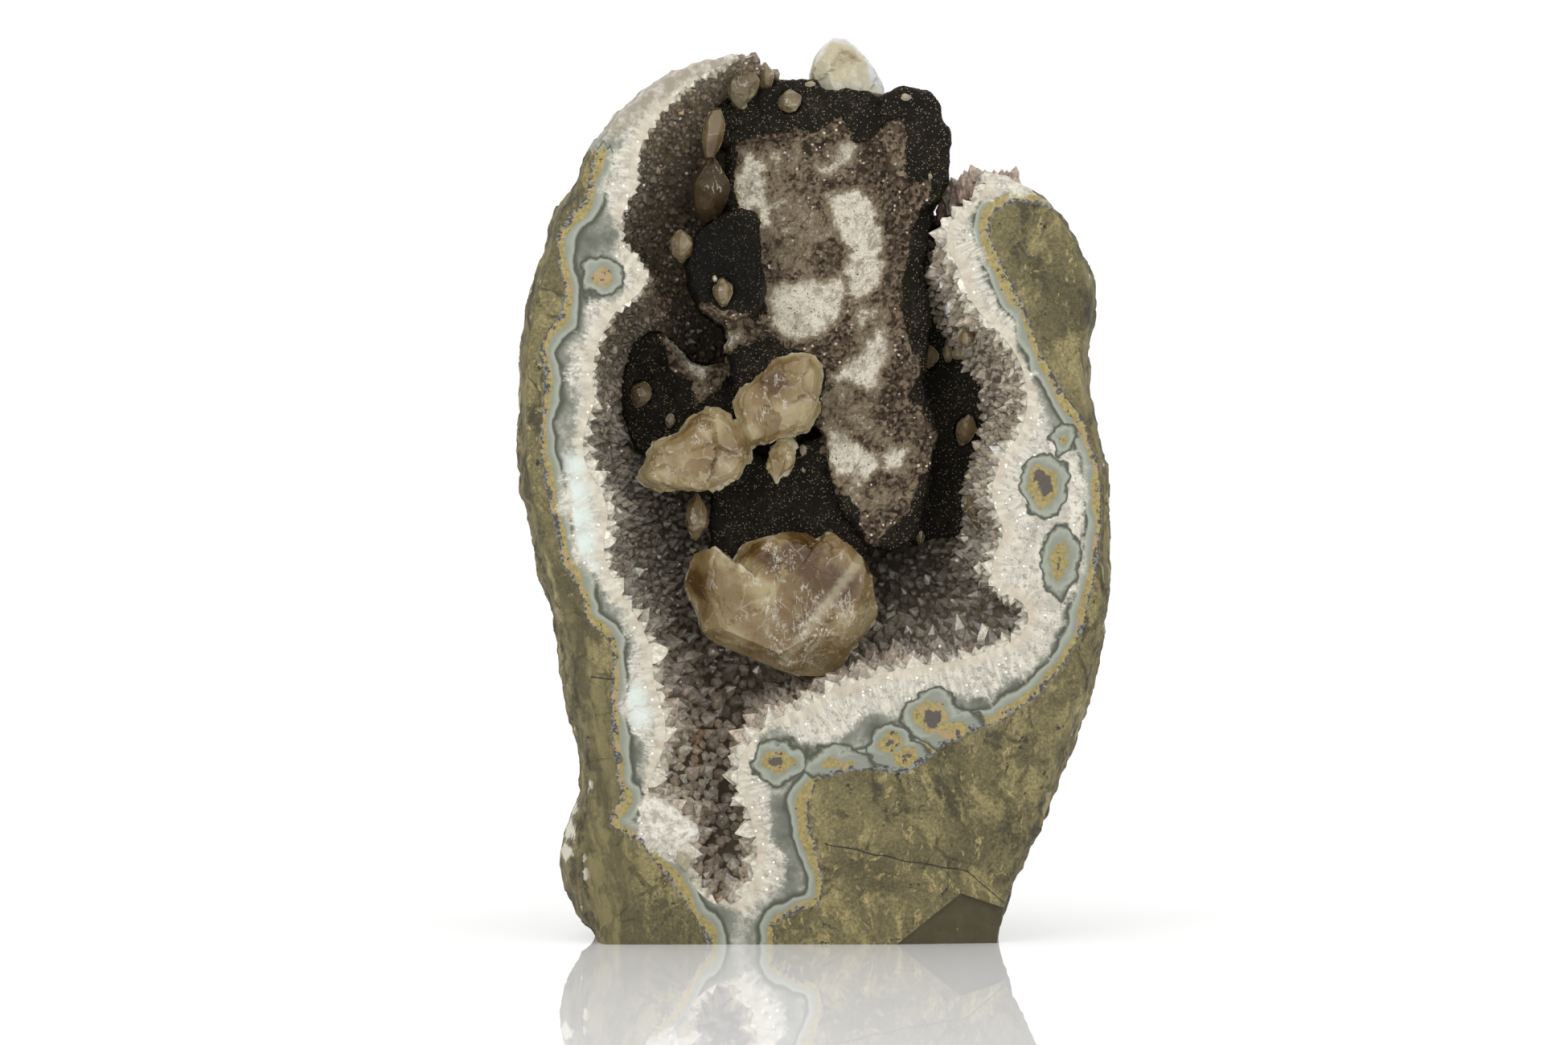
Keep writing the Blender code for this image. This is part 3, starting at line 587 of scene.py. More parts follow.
def rock_mass(bark):
    """The whole specimen filled in, its front flat, its flanks streaky like bark."""
    widest = even_steps(curve_through(GIRDLE), ROUND_STEPS) - MIDDLE
    wide = np.hypot(*widest.T)
    sawn = curve_through(SAWN_FACE) - MIDDLE
    turn = np.arctan2(*sawn.T)
    order = np.argsort(turn)
    narrow = np.interp(np.arctan2(*widest.T), turn[order], np.hypot(*sawn.T)[order], period=2 * math.pi)
    sawn = widest * (narrow / wide)[:, None]
    rings = []
    for share in np.linspace(0, 1, 52) ** 0.8:
        ring = sawn * share + MIDDLE
        rings.append(flat(ring[:, 0], 0, ring[:, 1]))
    outward = np.column_stack((widest[:, 0], np.zeros(ROUND_STEPS), widest[:, 1])) / wide[:, None]
    depths = np.concatenate((np.linspace(0.8, 24, 24), np.linspace(26, 118, 34),
                             (121, 124, 127, 129.5, 131.5, 133)))
    for depth in depths:
        share = narrowing(GIRDLE_DEPTH - depth, GIRDLE_DEPTH, 2.2)
        size = narrowing(depth - GIRDLE_DEPTH, ROCK_DEPTH - GIRDLE_DEPTH, 2.3)
        outline = widest * ((narrow + (wide - narrow) * share) / wide)[:, None] * size
        outline = softened(outline, max(depth - GIRDLE_DEPTH, 0) / 30 * ROUND_STEPS / 72) + MIDDLE
        ring = flat(outline[:, 0], depth, outline[:, 1])
        streaks = 1 - np.abs(waves(ring * (150, 120, 26), 1.0, 3)) * 2.2
        crust = waves(ring, 190, 3)
        lumps = waves(ring, 38) * 1.5 + (streaks * 0.8 + crust) * bark / MM * min(depth / 3, 1)
        rings.append(ring + outward * (lumps * min(depth / 6, 1) * size ** 0.3)[:, None] * MM)
    rings.append(np.repeat(flat(-4, ROCK_DEPTH - 0.3, 122), ROUND_STEPS, axis=0))
    return wrapped("agate_and_basalt", rings)


def hollow_space(spare):
    """The open space inside, spare millimetres wider than its crystals' tips."""
    base = even_steps(curve_through(HOLLOW), HOLLOW_STEPS)
    run = np.roll(base, -1, 0) - np.roll(base, 1, 0)
    side = np.column_stack((-run[:, 1], run[:, 0])) / np.hypot(*run.T)[:, None]
    clockwise = np.sum(base[:, 0] * np.roll(base[:, 1], -1) - base[:, 1] * np.roll(base[:, 0], -1)) < 0
    base = softened(base + side * spare * (1 if clockwise else -1), 0.8)
    rings = []
    rows = 46
    for row in range(rows):
        depth = -3 + (HOLLOW_DEPTH + spare) * math.sin(row / rows * math.pi / 2) ** 1.05
        size = narrowing(depth, HOLLOW_DEPTH + spare, 2.0)
        placed = (softened(base, 26 * (1 - size)) - HOLLOW_CENTRE) * size + HOLLOW_CENTRE
        ring = flat(placed[:, 0], depth, placed[:, 1])
        inward = np.column_stack((HOLLOW_CENTRE[0] - placed[:, 0], np.zeros(len(placed)),
                                  HOLLOW_CENTRE[1] - placed[:, 1]))
        inward /= np.maximum(np.linalg.norm(inward, axis=1), 1)[:, None]
        rings.append(ring + inward * (waves(ring, 130) * 0.9 * min(max(depth, 0) / 8, size))[:, None] * MM)
    rings.append(np.repeat(flat(HOLLOW_CENTRE[0], HOLLOW_DEPTH + spare, HOLLOW_CENTRE[1]), HOLLOW_STEPS,
                           axis=0))
    return wrapped("hollow", rings)


def rock_fields(data):
    """Store the distances that the sawn face's bands are drawn from."""
    places = places_of(data)
    across = places[:, (0, 2)] / MM
    depth = places[:, 1] / MM - FRONT
    wobble = waves(places * (1, 0, 1), 150, 3)
    rock, along = signed_distance(across, curve_through(CONTACT, 5))
    quartz, _ = signed_distance(across, curve_through(AGATE_INSIDE, 5))
    edge, place = signed_distance(across, curve_through(HOLLOW, 5))
    width = 2.2 + 2.0 * step_between(-0.2, 0.7, waves(places * (1, 0, 1), 60, 2))
    width += 3.0 * spread_of(across, (((62, 222), 16), ((-78, 230), 12), ((28, 60), 16), ((48, 66), 12),
                                      ((0, 8), 9)))
    agate = rock - width
    back = np.maximum(depth, 0)
    skin = step_between(243, 252, across[:, 1]) * step_between(-4, -14, across[:, 0])
    skin = skin * step_between(70, 40, depth)
    crack = np.full(len(across), 9.0)
    for line in CRACKS:
        right, up = np.array(line).T
        above = across[:, 1] - np.interp(across[:, 0], right, up) + waves(places * (1, 0, 1), 180, 2) * 0.5
        on_it = (across[:, 0] > right[0]) & (across[:, 0] < right[-1]) & (depth < 3)
        crack = np.where(on_it & (np.abs(above) < np.abs(crack)), above, crack)
    set_field(data, "crack", crack)
    skin = skin + wobble * 0.3
    set_field(data, "rock", np.where(skin > 0.5, 8.0, rock - back * 0.6) + wobble * 0.5)
    set_field(data, "agate", np.where(skin > 0.5, 6.0, agate - back * 0.6) + wobble * 0.7)
    set_field(data, "quartz", quartz + wobble * 1.2 - back * 0.25)
    set_field(data, "flow", np.column_stack((place, -edge, depth)))
    set_field(data, "dark", spread_of(across, DARK_GLASS))
    set_field(data, "scale", spread_of(across, WHITE_SCALE) * step_between(34, 16, depth))
    set_field(data, "skin", step_between(243, 258, across[:, 1]) * step_between(0, -10, across[:, 0]))
    set_field(data, "blue", spread_of(across, PALE_BLUE))


def eye_distance(tree, places):
    """Millimetres outside the nearest core of an agate eye, wavy."""
    moved = wavering(places, 170, (0.008, 0, 0.008))
    found = None
    for (right, up), (half, tall) in EYES:
        start = (-(right + 4) / half, 0, -(up + 4) / tall)
        scaled = output(tree, "ShaderNodeVectorMath",
                        {0: moved, 1: (1 / (half * MM), 0, 1 / (tall * MM)), 2: start},
                        operation="MULTIPLY_ADD")
        reach = output(tree, "ShaderNodeVectorMath", {0: scaled}, "Value", operation="LENGTH")
        away = reach * min(half, tall) - min(half, tall)
        found = found.math("MINIMUM", away) if found else away
    return found


def basalt_look(tree, places, colours):
    """Colour and height of the rock."""
    def tone(share):
        return toned(colours.basalt, share)

    moved = wavering(places, 45, (0.02, 0.02, 0.02))
    streaky = mapped(moved, (1, 1, 0.5), rotation=(0, 0.25, 0))
    bark = mapped(moved, (1, 1, 0.5))
    flank = between(along(places, 1), (FRONT + 0.1) * MM, (FRONT + 1.2) * MM)
    fine = cloud(places, 1100, 4, 0.7)
    base = blended(between(cloud(moved, 38, 6, 0.6), 0.36, 0.64), tone(0.58), tone(1.12))
    base = blended(between(cloud(streaky, 90, 6, 0.72), 0.5, 0.6), base, tone(1.6))
    base = blended(between(cloud(streaky, 75, 7, 0.75), 0.545, 0.62), base, tone(0.4))
    seams = cells(moved, 62, feature="DISTANCE_TO_EDGE")
    seams = between(seams, 0.045, 0.01) * between(cloud(places, 70, 3), 0.5, 0.6)
    base = blended(seams * 0.7, base, tone(0.35))
    low = between(along(places, 2), 0.034, 0.018) * between(along(places, 0), -0.004, 0.006)
    flecks = cloud(mapped(moved, (1, 1, 0.45)), 330, 5, 0.75)
    flecks = flecks + low * 0.045
    base = blended(between(flecks, 0.595, 0.64), base, (0.33, 0.265, 0.115))
    base = blended(between(cloud(places, 260, 4, 0.7), 0.635, 0.68), base, (0.035, 0.028, 0.015))
    base = blended(1.0, base, blended(between(fine, 0.3, 0.7), (0.62, 0.62, 0.62), (1.3, 1.3, 1.3)),
                   "MULTIPLY")
    slant = (0, 0.18, 0)
    drawn = mapped(moved, rotation=slant)
    drawn = mapped(drawn, (1, 1, 0.11))
    lines = cloud(drawn, 190, 5, 0.68)
    beside = mapped(places, rotation=slant)
    beside = along(beside, 0)
    left = between(beside, -0.046, -0.055) * between(along(places, 2), 0.118, 0.088)
    streaks = blended(between(lines, 0.42, 0.6), tone(0.5), tone(1.45))
    base = blended(left * 0.75, base, streaks)
    fibre = cloud(bark, 170, 7, 0.72)
    torn = blended(between(fibre, 0.38, 0.6), tone(0.15), tone(1.35))
    torn = blended(between(cloud(bark, 90, 6, 0.7), 0.55, 0.63), torn, (0.34, 0.29, 0.15))
    torn = blended(between(cloud(moved, 240, 5, 0.75), 0.58, 0.64), torn, (0.035, 0.03, 0.018))
    base = blended(flank * 0.85, base, torn)
    ragged = cloud(mapped(places, (1, 1, 0.4)), 190, 6, 0.8)
    scaly = field(tree, "scale") + (ragged * 3.0 - 1.5)
    base = blended(between(scaly, 0.34, 0.54) * flank, base, (0.64, 0.61, 0.49))
    crack = (field(tree, "crack") + (fine * 0.8 - 0.4)).math("ABSOLUTE")
    base = blended(between(crack, 0.35, 0.1), base, (0.02, 0.016, 0.01))
    height = fine + seams * -1.5
    height = height + fibre * flank * 3.5
    return base, height


def slipped_stone():
    """The smooth dark face where a wedge of rock slipped away."""
    material, tree, shader = new_material("slipped basalt", 0.5, Specular_IOR_Level=0.3)
    places = object_places(tree)
    broad = cloud(places, 70, 5, 0.7)
    tone = blended(between(broad, 0.35, 0.65), (0.06, 0.05, 0.024), (0.088, 0.073, 0.036))
    tone = blended(between(cloud(places, 300, 4, 0.7), 0.66, 0.7), tone, (0.16, 0.135, 0.07))
    feed(tree, shader, tone, None, cloud(places, 500, 4, 0.7), 0.2, 0.0006)
    return material


def sawn_stone(colours):
    """Basalt, ochre, celadon, chalcedony and white quartz, by the stored distances."""
    material, tree, shader = new_material("sawn agate and basalt", 0.4, Specular_IOR_Level=0.4)
    places = object_places(tree)
    eye = eye_distance(tree, places)
    rock, agate, quartz = (field(tree, name) for name in ("rock", "agate", "quartz"))
    agate = agate.math("MINIMUM", eye)
    fine = cloud(places, 900, 4, 0.65)
    warp = cloud(places, 300, 3, 0.6) * 3.2 - 1.6
    scallop = cells(places, 170) * -1.6 + 0.7
    ragged = fine * 1.4 - 0.7
    rock = rock + (ragged + warp * 0.5)
    core = agate + (ragged * 0.6 + warp * 0.55)
    shell = agate + (scallop + warp * 0.15)
    basalt, rough_height = basalt_look(tree, places, colours)

    ochre = blended(between(fine, 0.35, 0.7), toned(colours.ochre, 0.72),
                    toned(colours.ochre, 1.15))
    ochre = blended(between(cloud(places, 200, 3), 0.5, 0.75), ochre, (0.36, 0.26, 0.14))
    ochre = blended(between(cloud(places, 480, 4, 0.7), 0.6, 0.66), ochre, (0.045, 0.04, 0.028))
    celadon = blended(between(shell, 0.0, 2.2), toned(colours.celadon, 0.78),
                      toned(colours.celadon, 1.12))
    milky = between(cloud(places, 240, 5, 0.7), 0.42, 0.72)
    chalcedony = blended(milky, colours.chalcedony, (0.45, 0.44, 0.37))
    chalcedony = blended(field(tree, "dark") * 0.9, chalcedony, (0.085, 0.09, 0.068))

    skin = between(field(tree, "skin") + (milky * 0.5 - 0.25), 0.2, 0.9)
    celadon = blended(skin, celadon, (0.52, 0.51, 0.43))
    chalcedony = blended(skin, chalcedony, blended(milky, (0.3, 0.26, 0.2), (0.56, 0.52, 0.44)))

    flow = field(tree, "flow", "Vector")
    stretched = mapped(flow, (1.0, 0.17, 0.4))
    fibres = cloud(stretched, 0.8, 5, 0.7)
    grainy = cloud(places, 620, 4, 0.75)
    white = blended(between(fibres, 0.36, 0.62), toned(colours.quartz, 0.66),
                    toned(colours.quartz, 1.05))
    white = blended(between(grainy, 0.48, 0.66), white, (0.3, 0.275, 0.225))
    white = blended(between(cloud(places, 120, 4, 0.6), 0.54, 0.72) * 0.55, white, (0.33, 0.3, 0.25))
    inward = along(flow, 1)
    points = cells(mapped(flow, (0.42, 0.16, 0.2)), 1.0)
    pinkish = blended(between(points, 0.1, 0.75),
                      toned(colours.quartz, (1.03, 1.0, 0.98)),
                      toned(colours.quartz, (0.78, 0.71, 0.64)))
    white = blended(between(inward, 6.5, 2.0) * 0.8, white, pinkish)
    white = glinting(tree, white, 900.0, 0.05, (0.92, 0.90, 0.84))

    colour = blended(between(shell, 1.7, 2.6), celadon, colours.line)
    colour = blended(between(shell, 2.6, 4.6), colour, chalcedony)
    colour = blended(between(core, -0.2, 0.15), ochre, colour)
    start = quartz + (fibres - 0.5) * 5.0
    start = start + (cloud(places, 70, 5, 0.68) - 0.53) * 18.0
    start = start + between(quartz, 3.0, 7.0) * 3.0
    colour = blended(between(start + ragged * 3.0, -1.2, 1.8), colour, white)
    eye_core = eye + (ragged + warp * 0.5)
    eye_shell = eye + scallop * 0.7
    eye_band = blended(between(eye_shell, 1.7, 2.9), celadon, colours.line)
    heart = blended(between(eye_core + warp, -2.0, -2.6), ochre, (0.085, 0.07, 0.06))
    eye_band = blended(between(eye_core, -0.3, 0.1), heart, eye_band)
    milk_and_light = field(tree, "blue") * between(shell, 2.4, 4.0)
    colour = blended(milk_and_light, colour, colours.blue)
    colour = blended(between(eye_shell, 3.6, 2.9), colour, eye_band)
    slate = between(cloud(places, 260, 4, 0.7), 0.48, 0.62) * 1.5 + 0.45
    specks = blended(between(fine, 0.45, 0.6), (0.05, 0.047, 0.045), (0.21, 0.205, 0.19))
    colour = blended(between(rock - slate, -0.15, 0.15), specks, colour)
    colour = blended(between(rock, -0.2, 0.2), basalt, colour)
    on_rock = between(rock, 0.3, -0.3)
    rough = on_rock * 0.38 + 0.26
    height = rough_height * (on_rock + 0.12)
    feed(tree, shader, colour, rough, height, 0.5, 0.0011)
    return material


def druse_ground(colours):
    """The dull quartz between the crystals."""
    material, tree, shader = new_material("quartz ground", 0.55)
    places = object_places(tree)
    depth = along(field(tree, "flow", "Vector"), 2)
    shade = blended(cloud(places, 300, 3), toned(colours.grey, 0.3),
                    toned(colours.brown, 0.9))
    colour = blended(between(depth, 9.0, 1.0), shade, toned(colours.quartz, 0.8))
    feed(tree, shader, colour, None, cloud(places, 900, 3), 0.6, 0.001)
    return material


# Quartz points.

def crystal_shapes():
    """Six-sided quartz points, one unit wide, each with its own tip."""
    shapes = bpy.data.collections.new("crystal shapes")
    for number, (waist, lean) in enumerate(((0.25, 0.0), (0.12, 0.12), (0.40, -0.08), (0.05, 0.05))):
        mesh = bmesh.new()
        bmesh.ops.create_cone(mesh, cap_ends=True, segments=6, radius1=0.5, radius2=0.47, depth=waist + 0.4)
        bmesh.ops.translate(mesh, verts=mesh.verts, vec=(0, 0, (waist - 0.4) / 2))
        top = max(mesh.faces, key=lambda face: face.calc_center_median().z)
        tip = bmesh.ops.poke(mesh, faces=[top])["verts"][0]
        tip.co = (lean, lean * 0.6, waist + 0.55)
        shape = bpy.data.objects.new(f"crystal shape {number}", bpy.data.meshes.new("crystal shape"))
        mesh.to_mesh(shape.data)
        mesh.free()
        shapes.objects.link(shape)
    return shapes


def planted(name, seats, shapes, material):
    """One mesh of crystals, each at its seat: place, turn, size, kind and tint."""
    mesh = bmesh.new()
    for seat in seats:
        mesh.verts.new(seat[0])
    piece = new_piece(name, mesh)
    set_field(piece.data, "turn", [seat[1] for seat in seats])
    set_field(piece.data, "size", [seat[2] for seat in seats])
    piece.data.attributes.new("kind", "INT", "POINT").data.foreach_set("value", [seat[3] for seat in seats])
    set_field(piece.data, "tint", [seat[4] for seat in seats])
    set_field(piece.data, "slab", [index % SLABS for index in range(len(seats))])
    tree = bpy.data.node_groups.new(name, "GeometryNodeTree")
    for direction in ("INPUT", "OUTPUT"):
        tree.interface.new_socket("Geometry", in_out=direction, socket_type="NodeSocketGeometry")
    reads = {}
    for label, kind in (("turn", "FLOAT_VECTOR"), ("size", "FLOAT_VECTOR"), ("kind", "INT")):
        reads[label] = node(tree, "GeometryNodeInputNamedAttribute", {"Name": label},
                            data_type=kind).outputs[0]
    shape = node(tree, "GeometryNodeCollectionInfo", {"Collection": shapes, "Separate Children": True})
    points = node(tree, "NodeGroupInput").outputs[0]
    spin = node(tree, "FunctionNodeEulerToRotation", {0: reads["turn"]}).outputs[0]
    made = node(tree, "GeometryNodeInstanceOnPoints",
                {"Points": points, "Instance": shape.outputs[0], "Pick Instance": True,
                 "Instance Index": reads["kind"], "Rotation": spin, "Scale": reads["size"]})
    real = node(tree, "GeometryNodeRealizeInstances", {0: made.outputs[0]})
    node(tree, "NodeGroupOutput", {0: real.outputs[0]})
    piece.modifiers.new("plant", "NODES").node_group = tree
    settle(piece)
    bpy.data.node_groups.remove(tree)
    piece.data.materials.clear()
    piece.data.materials.append(material)
    return piece


def scattered(data, chosen, spacing, tries, random):
    """Seats spread over a mesh's chosen faces: place, normal and spacing, none too close."""
    data.calc_loop_triangles()
    faces = [triangle for triangle in data.loop_triangles if chosen(triangle)]
    corners = np.array([[data.vertices[index].co for index in triangle.vertices] for triangle in faces])
    normals = np.array([triangle.normal for triangle in faces])
    areas = np.linalg.norm(np.cross(corners[:, 1] - corners[:, 0], corners[:, 2] - corners[:, 0]), axis=1)
    picks = random.choice(len(faces), tries, p=areas / areas.sum())
    u, v = random.random((2, tries))
    over = u + v > 1
    u[over], v[over] = 1 - u[over], 1 - v[over]
    a, b, c = corners[picks].transpose(1, 0, 2)
    places = a + (b - a) * u[:, None] + (c - a) * v[:, None]
    gaps = spacing(places)
    taken = {}
    seats = []
    cell = gaps.max()
    for place, normal, gap in zip(places, normals[picks], gaps):
        key = tuple((place // cell).astype(int))
        near = [other for x in (-1, 0, 1) for y in (-1, 0, 1) for z in (-1, 0, 1)
                for other in taken.get((key[0] + x, key[1] + y, key[2] + z), ())]
        if all((place[0] - p[0]) ** 2 + (place[1] - p[1]) ** 2 + (place[2] - p[2]) ** 2 > (0.5 * (gap + g)) ** 2
               for p, g in near):
            taken.setdefault(key, []).append((place, gap))
            seats.append((place, normal, gap))
    return seats


def leaning(normal, lean, random):
    """A turn that points a crystal along a normal, leaning and spun at random."""
    direction = Vector(normal) + Vector(random.normal(0, math.tan(lean) * 0.6, 3))
    turn = direction.to_track_quat("Z", "Y") @ Quaternion((0, 0, 1), random.random() * math.tau)
    return tuple(turn.to_euler())


def crystal_material(name, glint_share, roughness):
    """Quartz points with the tint stored on them."""
    material, tree, shader = new_material(name, roughness, IOR=1.54, Specular_IOR_Level=0.6)
    tint = field(tree, "tint", "Color")
    places = object_places(tree)
    shade = blended(between(cloud(places, 700, 3, 0.6), 0.3, 0.75), (0.62, 0.61, 0.6), (1.25, 1.22, 1.18))
    colour = blended(1.0, tint, shade, "MULTIPLY")
    colour = glinting(tree, colour, 620.0, glint_share, (0.95, 0.93, 0.88))
    feed(tree, shader, colour, None, cloud(places, 1500, 2), 0.15, 0.0004)
    return material


def druse_tints(places, colours, random):
    """Colour of each quartz point by where it grows, with painted light in the deep channel and painted glints
    on a few at random.
    """
    right, depth, up = places[:, 0] / MM, places[:, 1] / MM - FRONT, places[:, 2] / MM
    quartz, grey, brown = (np.array(c) for c in (colours.quartz, colours.grey, colours.brown))
    high = step_between(150, 205, up) * step_between(20, -20, right)
    tint = grey + (brown - grey) * high[:, None]
    mauve = step_between(96, 84, up)
    tint = tint + (np.array((0.48, 0.41, 0.335)) - tint) * mauve[:, None]
    # Painted light in part: the channel low in the hollow is tinted far paler than its quartz, to lift the
    # shade that falls deep in it.
    channel = step_between(80, 58, up)
    tint = tint + (np.array((0.92, 0.80, 0.66)) - tint) * channel[:, None]
    side = step_between(34, 46, right) * step_between(125, 160, up)
    tint = tint + (np.array((0.52, 0.45, 0.35)) - tint) * side[:, None]
    across = np.column_stack((right, up))
    for spots, colour in ((PALE_RIDGES, (0.66, 0.57, 0.45)), (HONEY_POINTS, (0.66, 0.46, 0.30))):
        share = spread_of(across, spots, 0.5)
        tint = tint + (np.array(colour) - tint) * share[:, None]
    dim = step_between(175, 186, up) * step_between(-48, -56, right) * step_between(4, 9, depth)
    tint = tint * (1 - 0.45 * dim[:, None])
    reach = 3.4 + 2.4 * waves(places, 90) - 2.5 * step_between(170, 190, up) * step_between(-35, -50, right)
    front = step_between(reach + 5.5, reach, depth)
    tint = tint + (quartz - tint) * front[:, None]
    shade = 0.58 + 0.68 * random.random(len(places)) ** 1.4
    # Painted glints: about one point in fifty is tinted three times brighter, standing in for light caught on
    # its faces.
    shade = np.where(random.random(len(places)) < 0.02, 3.0, shade)
    shade = shade + (1 - shade) * front * 0.8
    return np.clip(tint * shade[:, None], 0.01, 0.92)


def trimmed_at_front(piece):
    """Saw off whatever stands in front of the sawn face, and close the cuts."""
    mesh = bmesh.new()
    mesh.from_mesh(piece.data)
    layer = mesh.verts.layers.float["slab"]
    for slab in range(SLABS):
        verts = [vertex for vertex in mesh.verts if round(vertex[layer]) == slab]
        edges = {edge for vertex in verts for edge in vertex.link_edges}
        faces = {face for vertex in verts for face in vertex.link_faces}
        plane = (0, (FRONT + 0.06 + 0.07 * slab) * MM, 0)
        sawn_off(mesh, [*verts, *edges, *faces], plane, (0, -1, 0))
    mesh.to_mesh(piece.data)
    mesh.free()


def finished(piece, slot, *nodes):
    """Say what a piece rides on and which solids it stands for; the slot, what it is made of, is not used."""
    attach(piece, "root")
    if nodes:
        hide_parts(*nodes)
    return piece


class GEODE_OT_rock(bpy.types.Operator):
    """Make the basalt with its sawn agate rim and the ground of the hollow"""

    bl_idname = "geode.rock"
    bl_label = "Rock and agate"

    def execute(self, context):
        sizes, colours = context.scene.geode_sizes, context.scene.geode_colours
        looks = (sawn_stone(colours), druse_ground(colours), slipped_stone())
        rock = rock_mass(sizes.bark)
        hollow = hollow_space(TIP_ROOM)
        slip = bmesh.new()
        for right, up, depth in SLIP:
            for place in flat(right, (depth, -6), up):
                slip.verts.new(place)
        bmesh.ops.convex_hull(slip, input=slip.verts)
        wedge = new_piece("slip", slip)
        for index, piece in enumerate((rock, hollow, wedge)):
            for look in looks:
                piece.data.materials.append(look)
            piece.data.polygons.foreach_set("material_index", [index] * len(piece.data.polygons))
        cut_away(rock, hollow)
        cut_away(rock, wedge)
        mesh = bmesh.new()
        mesh.from_mesh(rock.data)
        sawn_off(mesh, [*mesh.verts, *mesh.edges, *mesh.faces], (0, 0, 0), (0, 0, -1))
        mesh.to_mesh(rock.data)
        mesh.free()
        if not rock.data.polygons:
            raise RuntimeError("the hollow took the whole rock away")
        rock_fields(rock.data)
        finished(rock, "rock_and_agate", "rock_shell", "quartz_crust")
        return {"FINISHED"}


class GEODE_OT_druse(bpy.types.Operator):
    """Grow the quartz points over the inside of the hollow"""

    bl_idname = "geode.druse"
    bl_label = "Quartz druse"

    def execute(self, context):
        sizes, colours = context.scene.geode_sizes, context.scene.geode_colours
        random = np.random.default_rng(sizes.seed)
        rock = bpy.data.objects["agate_and_basalt"].data

        def spacing(places):
            right, depth, up = places[:, 0] / MM, places[:, 1] / MM - FRONT, places[:, 2] / MM
            fine = step_between(150, 200, up) * step_between(15, -20, right)
            low = step_between(120, 90, up)
            rim = step_between(9, 4, depth) * (1 - 0.3 * fine)
            uneven = 0.7 + 0.7 * random.random(len(places)) ** 1.5
            return sizes.crystal * (0.78 - 0.08 * fine + 0.36 * low + 0.22 * rim) * uneven

        inside = {index for index, polygon in enumerate(rock.polygons) if polygon.material_index == 1}
        seats = scattered(rock, lambda triangle: triangle.polygon_index in inside, spacing, SEAT_TRIES,
                          random)
        places = np.array([seat[0] for seat in seats])
        tints = druse_tints(places, colours, random)
        planted_seats = []
        for (place, normal, gap), tint in zip(seats, tints):
            wide = gap * (1.2 + 0.45 * random.random())
            sugary = place[2] / MM > 165 and place[0] / MM < 20
            tall = wide * (0.8 + 0.5 * random.random()) * (0.7 if sugary else 1.0)
            sunk = place - normal * wide * 0.15
            planted_seats.append((sunk, leaning(normal, sizes.lean, random), (wide, wide, tall),
                                  int(random.integers(4)), tint))
        for right, depth, up in SKYLINE_CLUSTER:
            while up < SKYLINE:
                width = (3.0 + 1.5 * random.random()) * MM
                place = flat(right + random.random(), depth + 2 * random.random(), up)[0]
                turn = leaning((-0.25, -0.25, 1), 0.3, random)
                planted_seats.append((place, turn, (width, width, width * 1.1), int(random.integers(4)),
                                      (0.34 + 0.1 * random.random(), 0.30, 0.24)))
                up += 2.0
        shapes = crystal_shapes()
        rim = [seat for seat in planted_seats if seat[0][1] / MM - FRONT < RIM_DEPTH]
        deep = [seat for seat in planted_seats if seat[0][1] / MM - FRONT >= RIM_DEPTH]
        high = [seat for seat in deep if seat[0][2] / MM > DRUSE_SPLIT]
        low = [seat for seat in deep if seat[0][2] / MM <= DRUSE_SPLIT]
        grey = crystal_material("grey druse", 0.03, 0.22)
        for name, group, material in (("rim_quartz_points", rim, crystal_material("rim quartz", 0.02, 0.3)),
                                      ("upper_druse_points", high, grey), ("lower_druse_points", low, grey)):
            points = planted(name, group, shapes, material)
            if group is rim:
                trimmed_at_front(points)
            finished(points, "quartz_druse")
        return {"FINISHED"}


# The black block.

# Where the black coat is broken away, and the quartz that shows there with how white it is.
BROKEN_FRONT = (
    (-23.6, 251.1), (-20.4, 252.3), (-16.3, 254), (-11.6, 254.6), (-7.5, 255.2), (-5.7, 257),
    (-2.8, 255.8), (-0.4, 255.2), (3.1, 255.8), (6, 258.1), (9, 259.3), (11.3, 255.8),
    (13.1, 252.3), (15.4, 251.7), (19.5, 252.3), (21.3, 255.8), (24.2, 258.1), (28.9, 258.7),
    (29.8, 253.4), (29.2, 244.1), (30.1, 239.4), (36.9, 239.4), (36.9, 234.7), (34.8, 230),
    (31.3, 225.3), (30.7, 220.6), (29.8, 212.4), (28.3, 203.6), (27.7, 199.7), (29.3, 195),
    (30.3, 188.2), (34, 183.5), (34, 178.3), (30.9, 171.5), (35, 168.4), (35.6, 164.2),
    (39.2, 161.1), (39.7, 155.9), (37.6, 149.6), (34, 145.4), (31.9, 140.2), (30.9, 135.5),
    (28.3, 131.9), (23.6, 128.7), (20.4, 124.1), (17.8, 125.1), (15.7, 130.8), (14.7, 135.5),
    (11.6, 139.7), (7.9, 140.2), (5.3, 146.5), (3.8, 152.7), (1.7, 157.4), (2.7, 170.5),
    (5.3, 177.8), (2.2, 183), (-2.6, 186.2), (-6.8, 186.7), (-12.5, 190.3), (-16.7, 189.8),
    (-20.3, 187.7), (-24.5, 187.2), (-27.6, 183.6), (-27.1, 178.3), (-30.3, 173.1),
    (-36.5, 169), (-38.6, 176.8), (-41.7, 177.3), (-45.9, 182.5), (-49, 190.9), (-46.9, 194),
    (-42.8, 196.1), (-34.4, 200.2), (-18.6, 195.7), (-13.9, 197.7), (-14.5, 203.6),
    (-15.7, 213.6), (-16.3, 224.1), (-16.9, 230.6), (-23.3, 230.6), (-24.5, 238.2),
    (-24.5, 244.1),
)
